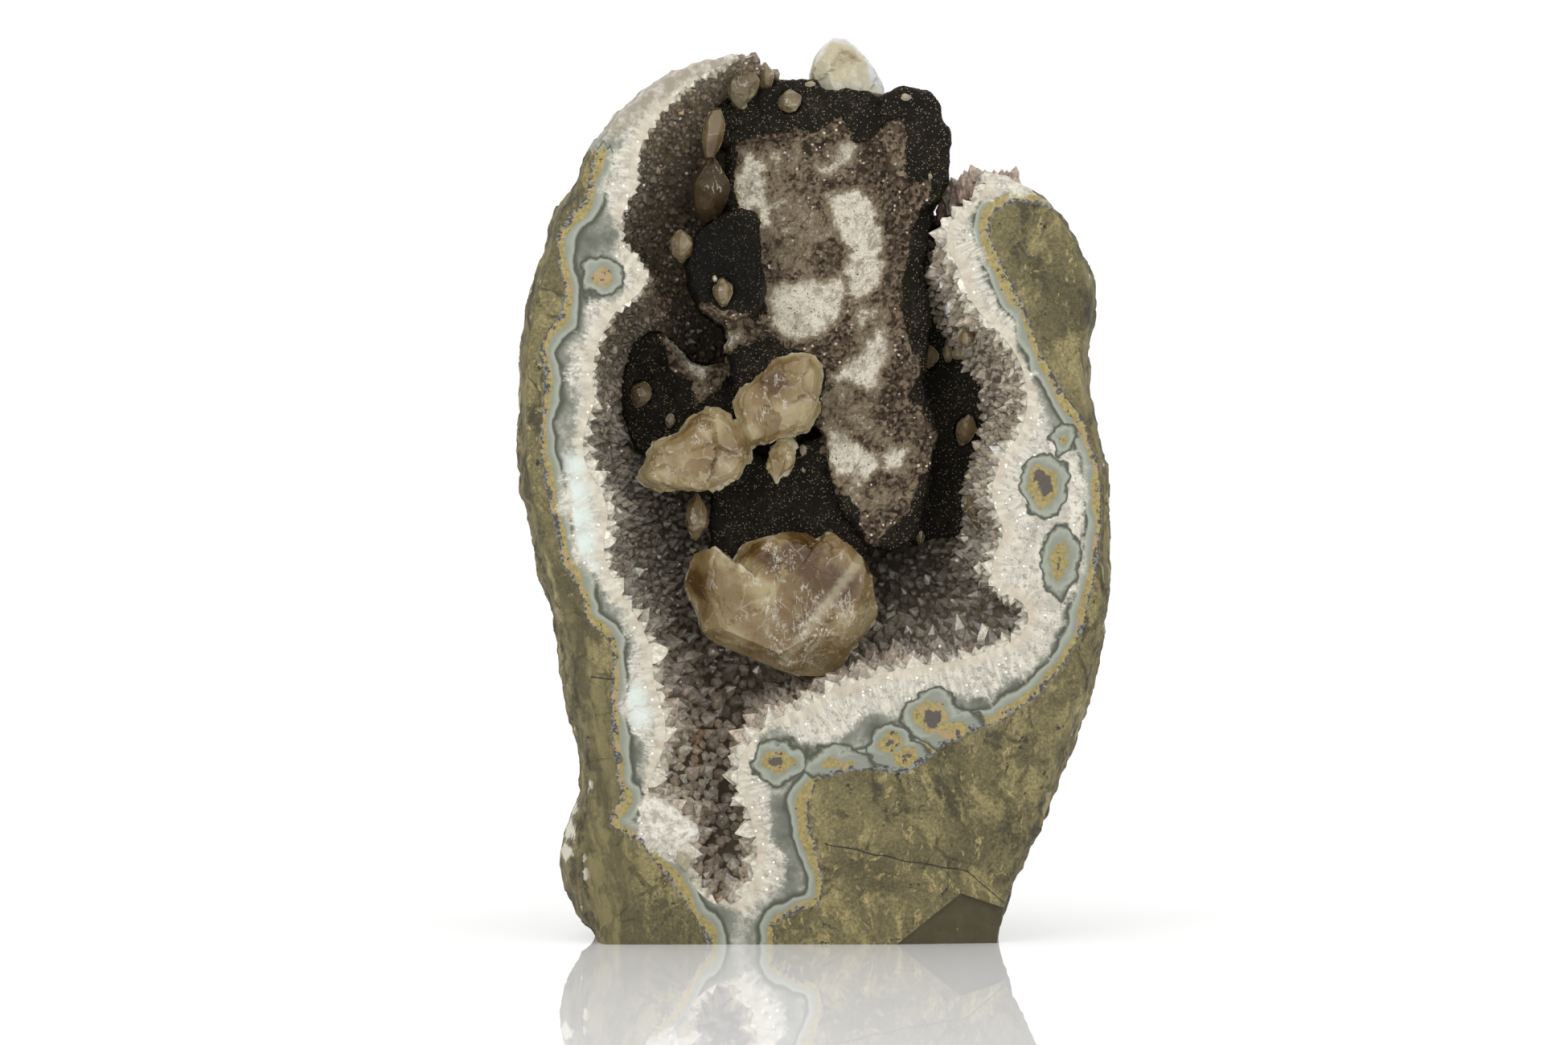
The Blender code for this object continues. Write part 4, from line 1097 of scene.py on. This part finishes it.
BROKEN_PATCHES = (
    (0.9, ((-22.4, 249.3), (-18.6, 249.6), (-14.5, 245.2), (-14.8, 239.4), (-13.3, 231.1), (-12.7, 225.3),
           (-16.9, 225.9), (-17.4, 230.6), (-23.6, 230.6), (-24.5, 238.8), (-23, 244.1))),
    (0.35, ((-14.5, 249.3), (-3.9, 251.7), (-1.3, 246.4), (-0.4, 241.7), (-0.4, 236.4), (-5.1, 238.8),
            (-0.4, 232.3), (1.9, 226.5), (-2.8, 225.3), (-7.5, 225.9), (-12.7, 227), (-14.5, 239.4))),
    (0.35, ((1.9, 248.2), (4.3, 251.1), (10.1, 252.3), (9, 249.3), (4.9, 247))),
    (1.0, ((0.7, 244.1), (4.9, 246.4), (9, 249.3), (11.3, 252.6), (13.7, 251.1), (13.7, 246.4),
           (11.3, 244.1), (6.6, 241.7), (1.3, 241.1))),
    (1.0, ((4.9, 235.3), (9, 236.4), (15.4, 237.6), (18.9, 233.5), (20.1, 226.5), (22.2, 222.9),
           (21.3, 217.1), (22.5, 213), (21.3, 207.7), (16, 202.4), (12.5, 201.2), (11.9, 207.7),
           (10.1, 212.4), (11.9, 218.2), (7.8, 220.6), (7.2, 226.5), (5.4, 230.6))),
    (1.0, ((-13.9, 207.1), (-6.9, 207.7), (-0.4, 208.3), (4.3, 207.7), (9.5, 208.9), (10.1, 203),
           (9, 198.3), (7.2, 194.8), (4.8, 192.9), (0.1, 190.3), (-5.6, 189.2), (-9.8, 191.8),
           (-13.9, 198.9), (-14.5, 203.6))),
    (0.4, ((-16.3, 225.3), (-6.9, 225.9), (-2.8, 224.1), (0.7, 225.9), (7.2, 224.1), (4.3, 219.4),
           (6.6, 218.2), (4.9, 213.6), (0.7, 214.7), (-7.5, 213), (-13.9, 214.7), (-15.7, 219.4))),
    (1.0, ((18.4, 193.4), (21.5, 192.9), (23.6, 190.8), (24.6, 187.2), (23.6, 182.5), (21, 179.9),
           (20.7, 174.6), (18.4, 172.6), (15.7, 174.6), (10.5, 177.2), (5.3, 177.8), (7.9, 179.9),
           (13.1, 182.5), (16.8, 187.7), (17.8, 190.3))),
    (0.6, ((14.7, 201.8), (21.5, 200.7), (23, 197.1), (20.4, 193.4), (17.3, 192.4), (14.7, 189.2),
           (13.1, 191.3), (12.1, 196.5), (14.2, 199.2))),
    (0.35, ((6.4, 173.6), (11.6, 175.7), (15.7, 171.5), (19.4, 166.3), (23, 162.1), (21.5, 156.9),
            (14.7, 157.4), (10, 162.1), (4.3, 166.3), (3.2, 170.5))),
    (1.0, ((4.3, 160), (9.5, 161.1), (14.2, 156.9), (16.3, 153.8), (20.4, 152.7), (21, 148.6),
           (17.3, 144.9), (15.2, 142.3), (12.6, 144.9), (8.4, 146), (5.3, 149.6), (3.5, 154.8))),
    (0.9, ((21.5, 151.7), (25.7, 154.8), (29.8, 156.4), (31.1, 152.7), (28.8, 148.6), (24.6, 147.5),
           (22, 148.6))),
    (0.45, ((6.9, 145.4), (13.1, 143.3), (16.8, 140.2), (21.5, 141.3), (26.2, 141.3), (30.9, 143.3),
            (34, 145.4), (34, 142.3), (28.8, 139.7), (21.5, 135.5), (15.7, 135), (11.6, 139.7))),
    (0.95, ((-45.9, 191.9), (-42.8, 190.9), (-39.6, 186.7), (-34.4, 190.3), (-29.2, 191.9),
            (-23, 191.4), (-22.4, 188.8), (-29.2, 186.7), (-32.3, 182), (-33.4, 177.8),
            (-35.5, 175.7), (-38.1, 177.3), (-39.6, 180.4), (-41.7, 185.1), (-45.4, 188.8))),
    (0.45, ((-37.6, 175.7), (-33.4, 178.3), (-27.1, 178.3), (-30.3, 174.2), (-32.3, 171), (-36.5, 171))),
)


def block_fields(data):
    """Store where the block is broken open and how white the quartz is there."""
    places = places_of(data)
    across = places[:, (0, 2)] / MM
    depth = places[:, 1] / MM - FRONT
    ragged = waves(places, 300, 2) * 0.9
    broken, _ = signed_distance(across, np.array(BROKEN_FRONT))
    white = np.zeros(len(places))
    for tone, outline in BROKEN_PATCHES:
        inside, _ = signed_distance(across, np.array(outline))
        white = np.maximum(white, tone * np.clip((inside + ragged + 2.2) / 4.4, 0, 1))
    set_field(data, "broken", broken + ragged * 1.4 - 2.0 * np.maximum(depth - 52, 0))
    set_field(data, "white", white)
    set_field(data, "velvet", spread_of(across, (((-28, 213), 19), ((-30, 180), 9)), 0.4))


def sugar(tree, places, scale, low, high):
    """Grains of crystal sugar, each its own shade, and their height."""
    grain = node(tree, "ShaderNodeTexVoronoi", {"Vector": places, "Scale": scale})
    luck = output(tree, "ShaderNodeSeparateColor", {0: grain.outputs["Color"]})
    shade = blended(luck.math("POWER", 2.2), low, high)
    return shade, grain.outputs["Distance"]


def block_material(colours):
    """Black velvet druse with brown sugar and pale quartz where it is broken."""
    material, tree, shader = new_material("black druse", 0.6, Specular_IOR_Level=0.10)
    places = object_places(tree)
    grain = cloud(places, 1700, 3, 0.7)
    black, _ = sugar(tree, places, 2300.0, toned(colours.black, 0.5), toned(colours.black, 3.2))
    black = blended(between(cloud(places, 130, 3), 0.35, 0.7), toned(colours.black, 0.6), black)
    black = glinting(tree, black, 1900.0, 0.20, (0.24, 0.20, 0.135))
    black = blended(field(tree, "velvet") * 0.7, black, toned(colours.black, 0.12))
    brown, lumps = sugar(tree, places, 950.0, (0.035, 0.024, 0.015), (0.24, 0.18, 0.125))
    brown = glinting(tree, brown, 800.0, 0.07, (0.66, 0.58, 0.46))
    white = field(tree, "white") + (cloud(places, 420, 5, 0.8) * 1.5 - 0.75)
    white = white + (cloud(places, 135, 4, 0.65) * 1.8 - 0.92)
    grey = blended(between(grain, 0.3, 0.7), (0.15, 0.118, 0.075), (0.27, 0.215, 0.14))
    pale = blended(between(grain, 0.25, 0.6), (0.42, 0.38, 0.3), (0.74, 0.69, 0.57))
    misty = between(cloud(places, 170, 6, 0.72), 0.5, 0.62)
    pale = blended(misty * 0.75, pale, (0.34, 0.29, 0.215))
    pale = blended(between(cloud(places, 1100, 2), 0.655, 0.69), pale, (0.06, 0.045, 0.03))
    open_face = blended(between(white, 0.06, 0.34), brown, grey)
    open_face = blended(between(white, 0.4, 0.86), open_face, pale)
    broken = field(tree, "broken") + (cloud(places, 500, 3, 0.7) * 3.0 - 1.5)
    colour = blended(between(broken, -0.3, 0.3), black, open_face)
    rough = between(broken, 0.0, 1.0) * -0.2 + 0.6
    feed(tree, shader, colour, rough, grain + lumps, 0.55, 0.0006)
    return material


class GEODE_OT_block(bpy.types.Operator):
    """Make the block in the middle, coated with black druse"""

    bl_idname = "geode.block"
    bl_label = "Black druse block"

    def execute(self, context):
        sizes, colours = context.scene.geode_sizes, context.scene.geode_colours
        block = new_piece("black_block", copied_node("black_block", "black_druse_block"))
        remesh = block.modifiers.new("grain", "REMESH")
        remesh.mode = "VOXEL"
        remesh.voxel_size = BLOCK_GRAIN
        settle(block)
        smooth = block.modifiers.new("soft", "SMOOTH")
        smooth.factor = 0.5
        smooth.iterations = 1
        settle(block)
        data = block.data
        places = places_of(data)
        normals = np.array([vertex.normal for vertex in data.vertices])
        block_fields(data)
        white = np.empty(len(places))
        data.attributes["white"].data.foreach_get("value", white)
        broken = np.empty(len(places))
        data.attributes["broken"].data.foreach_get("value", broken)
        open_share = step_between(-1, 1.5, broken)
        lumps = waves(places, 110, 2)
        crumbs = waves(places, 420, 2) * sizes.sugar / MM
        chips = np.round(waves(places, 150, 2) * 2.2) * 0.8 - 1.2
        height = lumps + crumbs + open_share * (chips - 0.9 * step_between(0.5, 0.9, white))
        set_places(data, places + normals * height[:, None] * MM)
        data.materials.append(block_material(colours))
        finished(block, "black_druse", "black_druse_block")
        return {"FINISHED"}


# Calcites.

# Crystal, its material slot, the size of its mesh, how far its frosted edges reach, how rough
# they are, how many flat faces it has, how far its broken facets tilt and how milky it is.
LARGE_CALCITES = (
    ("calcite_large", "calcite_honey", 0.0012, 2.6, 1.0, 11, 0.05, 0.0),
    ("calcite_pair", "calcite_honey", 0.0010, 2.6, 0.9, 0, 0.10, 0.30),
    ("calcite_top", "calcite_pale", 0.0012, 1.5, 0.4, 9, 0.05, 0.12),
)
# Fractures inside the large calcite, middle and radius, and the ends of its pale band.
FRACTURES = (((-5, 93), 15), ((4, 100), 9), ((-12, 104), 7))
BAND = ((-10.3, 85.8), (16.2, 121.4))


def calcite_group():
    """Clear calcite: flat tilted facets, dark and milky parts, fine white scratches and frosted edges."""
    if "Calcite body" in bpy.data.node_groups:
        return bpy.data.node_groups["Calcite body"]
    group, start, end = effect_group(
        "Calcite body", [(label, "NodeSocketColor", (0.3, 0.2, 0.1, 1))
                         for label in ("Dark", "Body", "Milky")],
        [("Colour", "NodeSocketColor"), ("Frost", "NodeSocketFloat"), ("Height", "NodeSocketFloat")])
    places = object_places(group)
    moved = wavering(places, 260, (0.005, 0.005, 0.005))
    turned = mapped(moved, (1, 1, 0.7), rotation=(0.3, 0.5, 0.6))
    facet = node(group, "ShaderNodeTexVoronoi", {"Vector": turned, "Scale": 95.0})
    edge = cells(turned, 95.0, feature="DISTANCE_TO_EDGE")
    luck = output(group, "ShaderNodeSeparateColor", {0: facet.outputs["Color"]})
    beside = output(group, "ShaderNodeVectorMath", {0: turned, 1: facet.outputs["Position"]},
                    operation="SUBTRACT")
    lean = output(group, "ShaderNodeVectorMath", {0: facet.outputs["Color"], 1: (0.5, 0.5, 0.5)},
                  operation="SUBTRACT")
    tilt = output(group, "ShaderNodeVectorMath", {0: beside, 1: lean}, "Value", operation="DOT_PRODUCT")
    tone = cloud(places, 75, 5, 0.62) * 1.9 - 0.5
    tone = tone + (luck * 0.34 - 0.17)
    tone = tone + tilt * 50.0
    # Milky tone, partly painted light where the large calcite's bottom facet faces down into shade.
    tone = tone + field(group, "milk_and_light") * 0.55
    tone = tone - field(group, "dark") * 0.75
    body = blended(between(tone, -0.05, 0.5), start.outputs["Dark"], start.outputs["Body"])
    body = blended(between(tone, 0.5, 1.05), body, start.outputs["Milky"])
    body = blended(field(group, "band") * 0.6, body, (0.66, 0.58, 0.38))
    scratches = None
    for turn, scale in ((0.5, 120), (-0.8, 170)):
        long = mapped(places, (1, 1, 0.3), rotation=(0, turn, 0))
        line = (cloud(long, scale, 4, 0.6) - 0.5).math("ABSOLUTE")
        line = between(line, 0.016, 0.004)
        scratches = scratches.math("MAXIMUM", line) if scratches else line
    near = field(group, "veil") * between(cloud(places, 260, 5, 0.75), 0.47, 0.57)
    rare = between(cloud(places, 120, 4, 0.65), 0.54, 0.62) * 0.6
    creases = between(edge, 0.035, 0.0) * between(cloud(places, 90, 3), 0.48, 0.6)
    vein = scratches * near.math("MAXIMUM", rare)
    vein = vein.math("MAXIMUM", creases * 0.34)
    cloudy = field(group, "veil") * between(cloud(places, 330, 5, 0.8), 0.5, 0.66) * 0.7
    body = blended(vein.math("MAXIMUM", cloudy), body, (0.93, 0.89, 0.74))
    ragged = field(group, "frost") + (cloud(places, 700, 4, 0.7) * 0.8 - 0.4)
    ragged = between(ragged, 0.35, 0.9)
    body = blended(ragged * 0.65, body, (0.8, 0.74, 0.56))
    height = tilt * 350.0
    height = height + cloud(places, 300, 3, 0.55) * 0.25
    for label, value in (("Colour", body), ("Frost", ragged), ("Height", height)):
        plug(value, end.inputs[label])
    return group


def calcite_material(name, colour, roughness, transmission, density, gloss=0.5):
    """Clear calcite in dark, usual and milky tones of one colour."""
    material, tree, shader = new_material(name, roughness, IOR=1.5, Transmission_Weight=transmission,
                                          Specular_IOR_Level=gloss)
    dark = (*(c * k for c, k in zip(colour, (0.40, 0.30, 0.20))), 1)
    milky = (*(min(c * k, 0.8) for c, k in zip(colour, (1.70, 2.05, 2.65))), 1)
    look = placed_group(tree, calcite_group(), dark=dark, body=(*colour, 1), milky=milky)
    rough = Value(look.outputs["Frost"]) * 0.4 + roughness
    feed(tree, shader, look.outputs["Colour"], rough, look.outputs["Height"], 0.8, 0.001)
    clear = (*(min(c ** 0.5, 1) for c in colour), 1)
    depth = node(tree, "ShaderNodeVolumeAbsorption", {"Color": clear, "Density": density})
    plug(depth.outputs[0], tree.nodes["Material Output"].inputs["Volume"])
    return material


def finer(mesh, size):
    """Split the edges that are longer than a size."""
    for _ in range(6):
        long = [edge for edge in mesh.edges if edge.calc_length() > size]
        if not long or len(mesh.faces) > 40000:
            break
        bmesh.ops.subdivide_edges(mesh, edges=long, cuts=1)
        bmesh.ops.triangulate(mesh, faces=mesh.faces)


def facet_planes(solid, count):
    """Directions of natural faces, the same each time for a crystal."""
    random = np.random.default_rng(sum(map(ord, solid)))
    for _ in range(count):
        direction = random.normal(size=3) * (1, 0.8, 1) - (0, 0.35, 0)
        yield Vector(direction).normalized(), random.random()


def broken_facets(places, size, tilt, random):
    """How far each place stands out on flat facets that tilt at random, in metres."""
    low, high = places.min(0), places.max(0)
    seeds = random.uniform(low, high, (int(np.prod((high - low) / size)) + 1, 3))
    lean = random.normal(size=seeds.shape) * tilt
    tree = search_tree(seeds)
    nearest = np.array([tree.find(Vector(place))[1] for place in places])
    return np.sum((places - seeds[nearest]) * lean[nearest], 1)


def crystal_piece(solid, fineness, reach, crumble, cuts, tilt=0.0, milky=0.0):
    """A calcite with flat natural faces and frosted, chipped edges."""
    mesh = copied_node(solid, solid)
    rim = [edge for edge in mesh.edges
           if len(edge.link_faces) == 2 and edge.link_faces[0].normal.y * edge.link_faces[1].normal.y < 0]
    spots = [edge.verts[0].co.lerp(edge.verts[1].co, step / 12) for edge in rim for step in range(13)]
    edges = search_tree(spots)
    finer(mesh, fineness * 3)
    bmesh.ops.smooth_vert(mesh, verts=mesh.verts, factor=0.5, use_axis_x=True, use_axis_y=True,
                          use_axis_z=True)
    centre = sum((vertex.co for vertex in mesh.verts), Vector()) / len(mesh.verts)
    for direction, luck in facet_planes(solid, cuts):
        far = max((vertex.co - centre).dot(direction) for vertex in mesh.verts)
        place = centre + direction * far * (0.80 + 0.14 * luck)
        sawn_off(mesh, [*mesh.verts, *mesh.edges, *mesh.faces], place, direction)
    bmesh.ops.triangulate(mesh, faces=mesh.faces)
    finer(mesh, fineness * 1.5)
    piece = new_piece(solid + "_crystal", mesh)
    data = piece.data
    places = places_of(data)
    normals = np.array([vertex.normal for vertex in data.vertices])
    away = np.array([edges.find(Vector(place))[2] for place in places]) / MM
    frost = step_between(reach, 0, away + waves(places, 260, 2) * reach * 0.5)
    chips = (waves(places, 420, 2) - 0.25) * frost * crumble
    facets = broken_facets(places, 0.0085, tilt, np.random.default_rng(len(solid))) if tilt else 0
    set_places(data, places + normals * ((chips + waves(places, 90, 2) * 0.15) * MM + facets)[:, None])
    set_field(data, "frost", frost)
    across = places[:, (0, 2)] / MM
    large = solid == "calcite_large"
    start, end = np.array(BAND[0]), np.array(BAND[1])
    run = (end - start) / np.hypot(*(end - start))
    beside = (across - start) @ np.array((-run[1], run[0]))
    set_field(data, "band", step_between(2.0, 1.0, np.abs(beside)) * large)
    set_field(data, "veil", spread_of(across, FRACTURES, 0.7) * large)
    big = solid in [row[0] for row in LARGE_CALCITES]
    set_field(data, "dark", spread_of(across, DARK_CALCITE) * big)
    # Milky spots, one of them partly painted light on a shaded bottom facet, and frost near the edges.
    frosted = np.maximum(spread_of(across, MILKY_AND_LIT_CALCITE), step_between(7, 1, away) * 0.8)
    set_field(data, "milk_and_light", frosted * big + milky)
    return piece


class GEODE_OT_large_calcites(bpy.types.Operator):
    """Make the large calcites, with flat faces and frosted edges"""

    bl_idname = "geode.large_calcites"
    bl_label = "Large calcites"

    def execute(self, context):
        honey = context.scene.geode_colours.honey
        looks = {"calcite_honey": calcite_material("honey calcite", honey, 0.07, 0.4, 9.0),
                 "calcite_pale": calcite_material("pale calcite", (0.56, 0.50, 0.33), 0.2, 0.3, 9.0)}
        for solid, slot, *shape in LARGE_CALCITES:
            piece = crystal_piece(solid, *shape)
            piece.data.materials.append(looks[slot])
            finished(piece, slot, solid)
        return {"FINISHED"}


class GEODE_OT_small_calcites(bpy.types.Operator):
    """Make the small pointed calcites"""

    bl_idname = "geode.small_calcites"
    bl_label = "Small calcites"

    def execute(self, context):
        honey = context.scene.geode_colours.honey
        clear = calcite_material("small calcite", toned(honey, (0.95, 1.05, 1.30)), 0.12, 0.45, 12.0)
        smoky = calcite_material("smoky calcite", (0.072, 0.045, 0.019), 0.5, 0.25, 20.0, 0.2)
        for solid in sorted(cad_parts):
            if not solid.startswith("calcite_") or solid in [row[0] for row in LARGE_CALCITES]:
                continue
            dark = solid == "calcite_dark"
            piece = crystal_piece(solid, 0.0008, 0.5 if dark else 0.9, 0.25, 5)
            slot = "calcite_smoky" if dark else "calcite_honey"
            piece.data.materials.append(smoky if dark else clear)
            finished(piece, slot, solid)
        return {"FINISHED"}


# Tiny calcites: what each sits on, right and up as seen on the sawn face, half width and height, turn.
CRUMBS = (
    ("black_block", (-22.2, 260.8), (2.0, 1.4), 0), ("black_block", (-30.5, 207), (0.9, 1.2), 0),
    ("black_block", (-0.8, 267.5), (1.8, 1.1), 0), ("black_block", (29, 263.5), (1.9, 1.3), 0),
    ("black_block", (36.5, 239), (0.8, 1.3), 0), ("black_block", (-3, 154), (1.3, 2.4), 0),
    ("black_block", (-3, 147.5), (0.8, 1.1), 0), ("agate_and_basalt", (41.9, 122.8), (3.2, 1.5), -15),
    ("agate_and_basalt", (38, 124.5), (1.5, 2.3), 20), ("agate_and_basalt", (45.8, 184), (3.4, 2.6), 0),
    ("agate_and_basalt", (41, 190), (1.6, 1.1), 0), ("agate_and_basalt", (-40.2, 26.2), (2.2, 3.8), -20),
)


class GEODE_OT_crumbs(bpy.types.Operator):
    """Set tiny calcites on the block and on the druse"""

    bl_idname = "geode.crumbs"
    bl_label = "Tiny calcites"

    def execute(self, context):
        random = np.random.default_rng(context.scene.geode_sizes.seed + 5)
        mesh = bmesh.new()
        for number, (below, (right, up), (wide, tall), turn) in enumerate(CRUMBS):
            aim = Vector(flat(right, 0, up)[0]) - EYE
            hit, place, _, _ = bpy.data.objects[below].ray_cast(EYE, aim.normalized())
            if not hit:
                raise RuntimeError(f"nothing lies behind tiny calcite {number}")
            spin = Matrix.Rotation(math.radians(turn), 3, "Y")
            nearer = Vector((0, -0.5 * min(wide, tall) * MM, 0))
            knots = []
            for step in range(26):
                knot = Vector(random.normal(size=3)).normalized()
                knot = Vector((knot.x * wide, knot.y * min(wide, tall) * 0.8,
                               knot.z * tall)) * (1 - 0.25 * (step % 3 == 0))
                knots.append(mesh.verts.new(place + nearer + spin @ knot * MM))
            shell = bmesh.ops.convex_hull(mesh, input=knots)
            buried = [item for item in shell["geom_interior"] if isinstance(item, bmesh.types.BMVert)]
            bmesh.ops.delete(mesh, geom=buried, context="VERTS")
        piece = new_piece("tiny_calcites", mesh)
        for name in ("frost", "band", "veil", "dark"):
            set_field(piece.data, name, np.zeros(len(piece.data.vertices)))
        set_field(piece.data, "milk_and_light", np.full(len(piece.data.vertices), 0.7))
        piece.data.materials.append(bpy.data.materials["small calcite"])
        finished(piece, "calcite_honey")
        return {"FINISHED"}


class GEODE_OT_white_lump(bpy.types.Operator):
    """Make the rough white quartz that sits low at the left of the hollow"""

    bl_idname = "geode.white_lump"
    bl_label = "White quartz lump"

    def execute(self, context):
        mesh = bmesh.new()
        bmesh.ops.create_icosphere(mesh, subdivisions=5, radius=1)
        turn = Matrix.Rotation(math.radians(36), 3, "Y")
        for vertex in mesh.verts:
            blunt = Vector([math.copysign(abs(part) ** 0.62, part) for part in vertex.co])
            wide = turn @ Vector((blunt.x * 10.8, blunt.y * 4.2, blunt.z * 6.2))
            rough = noise.noise(wide * 0.25 + PLACE) * 1.6 + noise.noise(wide * 0.9 + PLACE) * 0.8
            vertex.co = (Vector((-46.5, FRONT + 3.4, 37.0)) + wide * (1 + rough * 0.08)) * MM
        piece = new_piece("white_lump", mesh)
        material, tree, shader = new_material("rough white quartz", 0.5)
        places = object_places(tree)
        tone = blended(between(cloud(places, 420, 4, 0.7), 0.34, 0.6), (0.42, 0.38, 0.3),
                       (0.78, 0.755, 0.66))
        feed(tree, shader, tone, None, cloud(places, 900, 4, 0.75), 0.8, 0.0008)
        piece.data.materials.append(material)
        finished(piece, "quartz_druse")
        return {"FINISHED"}


# Floor, light and camera.

class GEODE_OT_stage(bpy.types.Operator):
    """Lay the pale floor, set the soft lights and place the camera"""

    bl_idname = "geode.stage"
    bl_label = "Floor, light and camera"

    def execute(self, context):
        scene = context.scene
        mesh = bmesh.new()
        bmesh.ops.create_grid(mesh, x_segments=1, y_segments=1, size=scene.geode_sizes.floor / 2)
        floor = new_piece("floor", mesh)
        material, tree, shader = new_material("pale floor", 0.015)
        places = object_places(tree)
        tone = blended(cloud(places, 3, 2), (0.955, 0.955, 0.955), (0.97, 0.97, 0.97))
        feed(tree, shader, tone)
        floor.data.materials.append(material)
        world = bpy.data.worlds.new("studio")
        scene.world = world
        world.use_nodes = True
        world.node_tree.nodes["Background"].inputs["Color"].default_value = (1, 1, 1, 1)
        world.node_tree.nodes["Background"].inputs["Strength"].default_value = 1.04
        for name, place, aim, width, power in (
                ("key", (-0.6, -1.1, 0.8), (0, 0, 0.14), 0.45, 3.2),
                ("fill", (0.85, -0.9, 0.45), (0, 0, 0.14), 0.6, 1.0),
                ("top", (0.0, -0.3, 1.1), (0, 0, 0.14), 0.6, 1.2), ("glint", (0.25, -1.3, 0.5), (0, 0, 0.15), 0.10, 0.6)):
            light = bpy.data.objects.new(name, bpy.data.lights.new(name, "AREA"))
            light.data.size = width
            light.data.energy = power
            light.location = place
            light.rotation_euler = (Vector(aim) - Vector(place)).to_track_quat("-Z", "Y").to_euler()
            scene.collection.objects.link(light)
        camera = bpy.data.objects.new("camera", bpy.data.cameras.new("camera"))
        camera.data.lens = 100
        camera.data.sensor_width = 36
        camera.location = EYE
        camera.rotation_euler = (math.pi / 2, 0, 0)
        camera.data.clip_end = 50
        scene.collection.objects.link(camera)
        scene.camera = camera
        scene.view_settings.view_transform = "Standard"
        return {"FINISHED"}


class GEODE_PT_panel(bpy.types.Panel):
    """Sizes, colours and the steps that build the geode"""

    bl_label = "Geode"
    bl_idname = "GEODE_PT_panel"
    bl_space_type = "VIEW_3D"
    bl_region_type = "UI"
    bl_category = "Geode"

    def draw(self, context):
        for group in (context.scene.geode_sizes, context.scene.geode_colours):
            box = self.layout.box()
            for key in group.__annotations__:
                box.prop(group, key)
        for step in STEPS:
            self.layout.operator(step.bl_idname)


STEPS = (GEODE_OT_stage, GEODE_OT_rock, GEODE_OT_druse, GEODE_OT_block, GEODE_OT_large_calcites,
         GEODE_OT_small_calcites,
         GEODE_OT_crumbs, GEODE_OT_white_lump)
CLASSES = (GeodeSizes, GeodeColours, *STEPS, GEODE_PT_panel)


def register():
    """Register the classes and put the settings on the scene."""
    for item in CLASSES:
        bpy.utils.register_class(item)
    bpy.types.Scene.geode_sizes = PointerProperty(type=GeodeSizes)
    bpy.types.Scene.geode_colours = PointerProperty(type=GeodeColours)


def unregister():
    """Take the settings and the classes away again."""
    del bpy.types.Scene.geode_colours
    del bpy.types.Scene.geode_sizes
    for item in reversed(CLASSES):
        bpy.utils.unregister_class(item)


def main():
    """Build the whole scene."""
    register()
    bpy.ops.geode.stage()
    bpy.ops.geode.rock()
    bpy.ops.geode.druse()
    bpy.ops.geode.block()
    bpy.ops.geode.large_calcites()
    bpy.ops.geode.small_calcites()
    bpy.ops.geode.crumbs()
    bpy.ops.geode.white_lump()


if __name__ == "__main__":
    main()
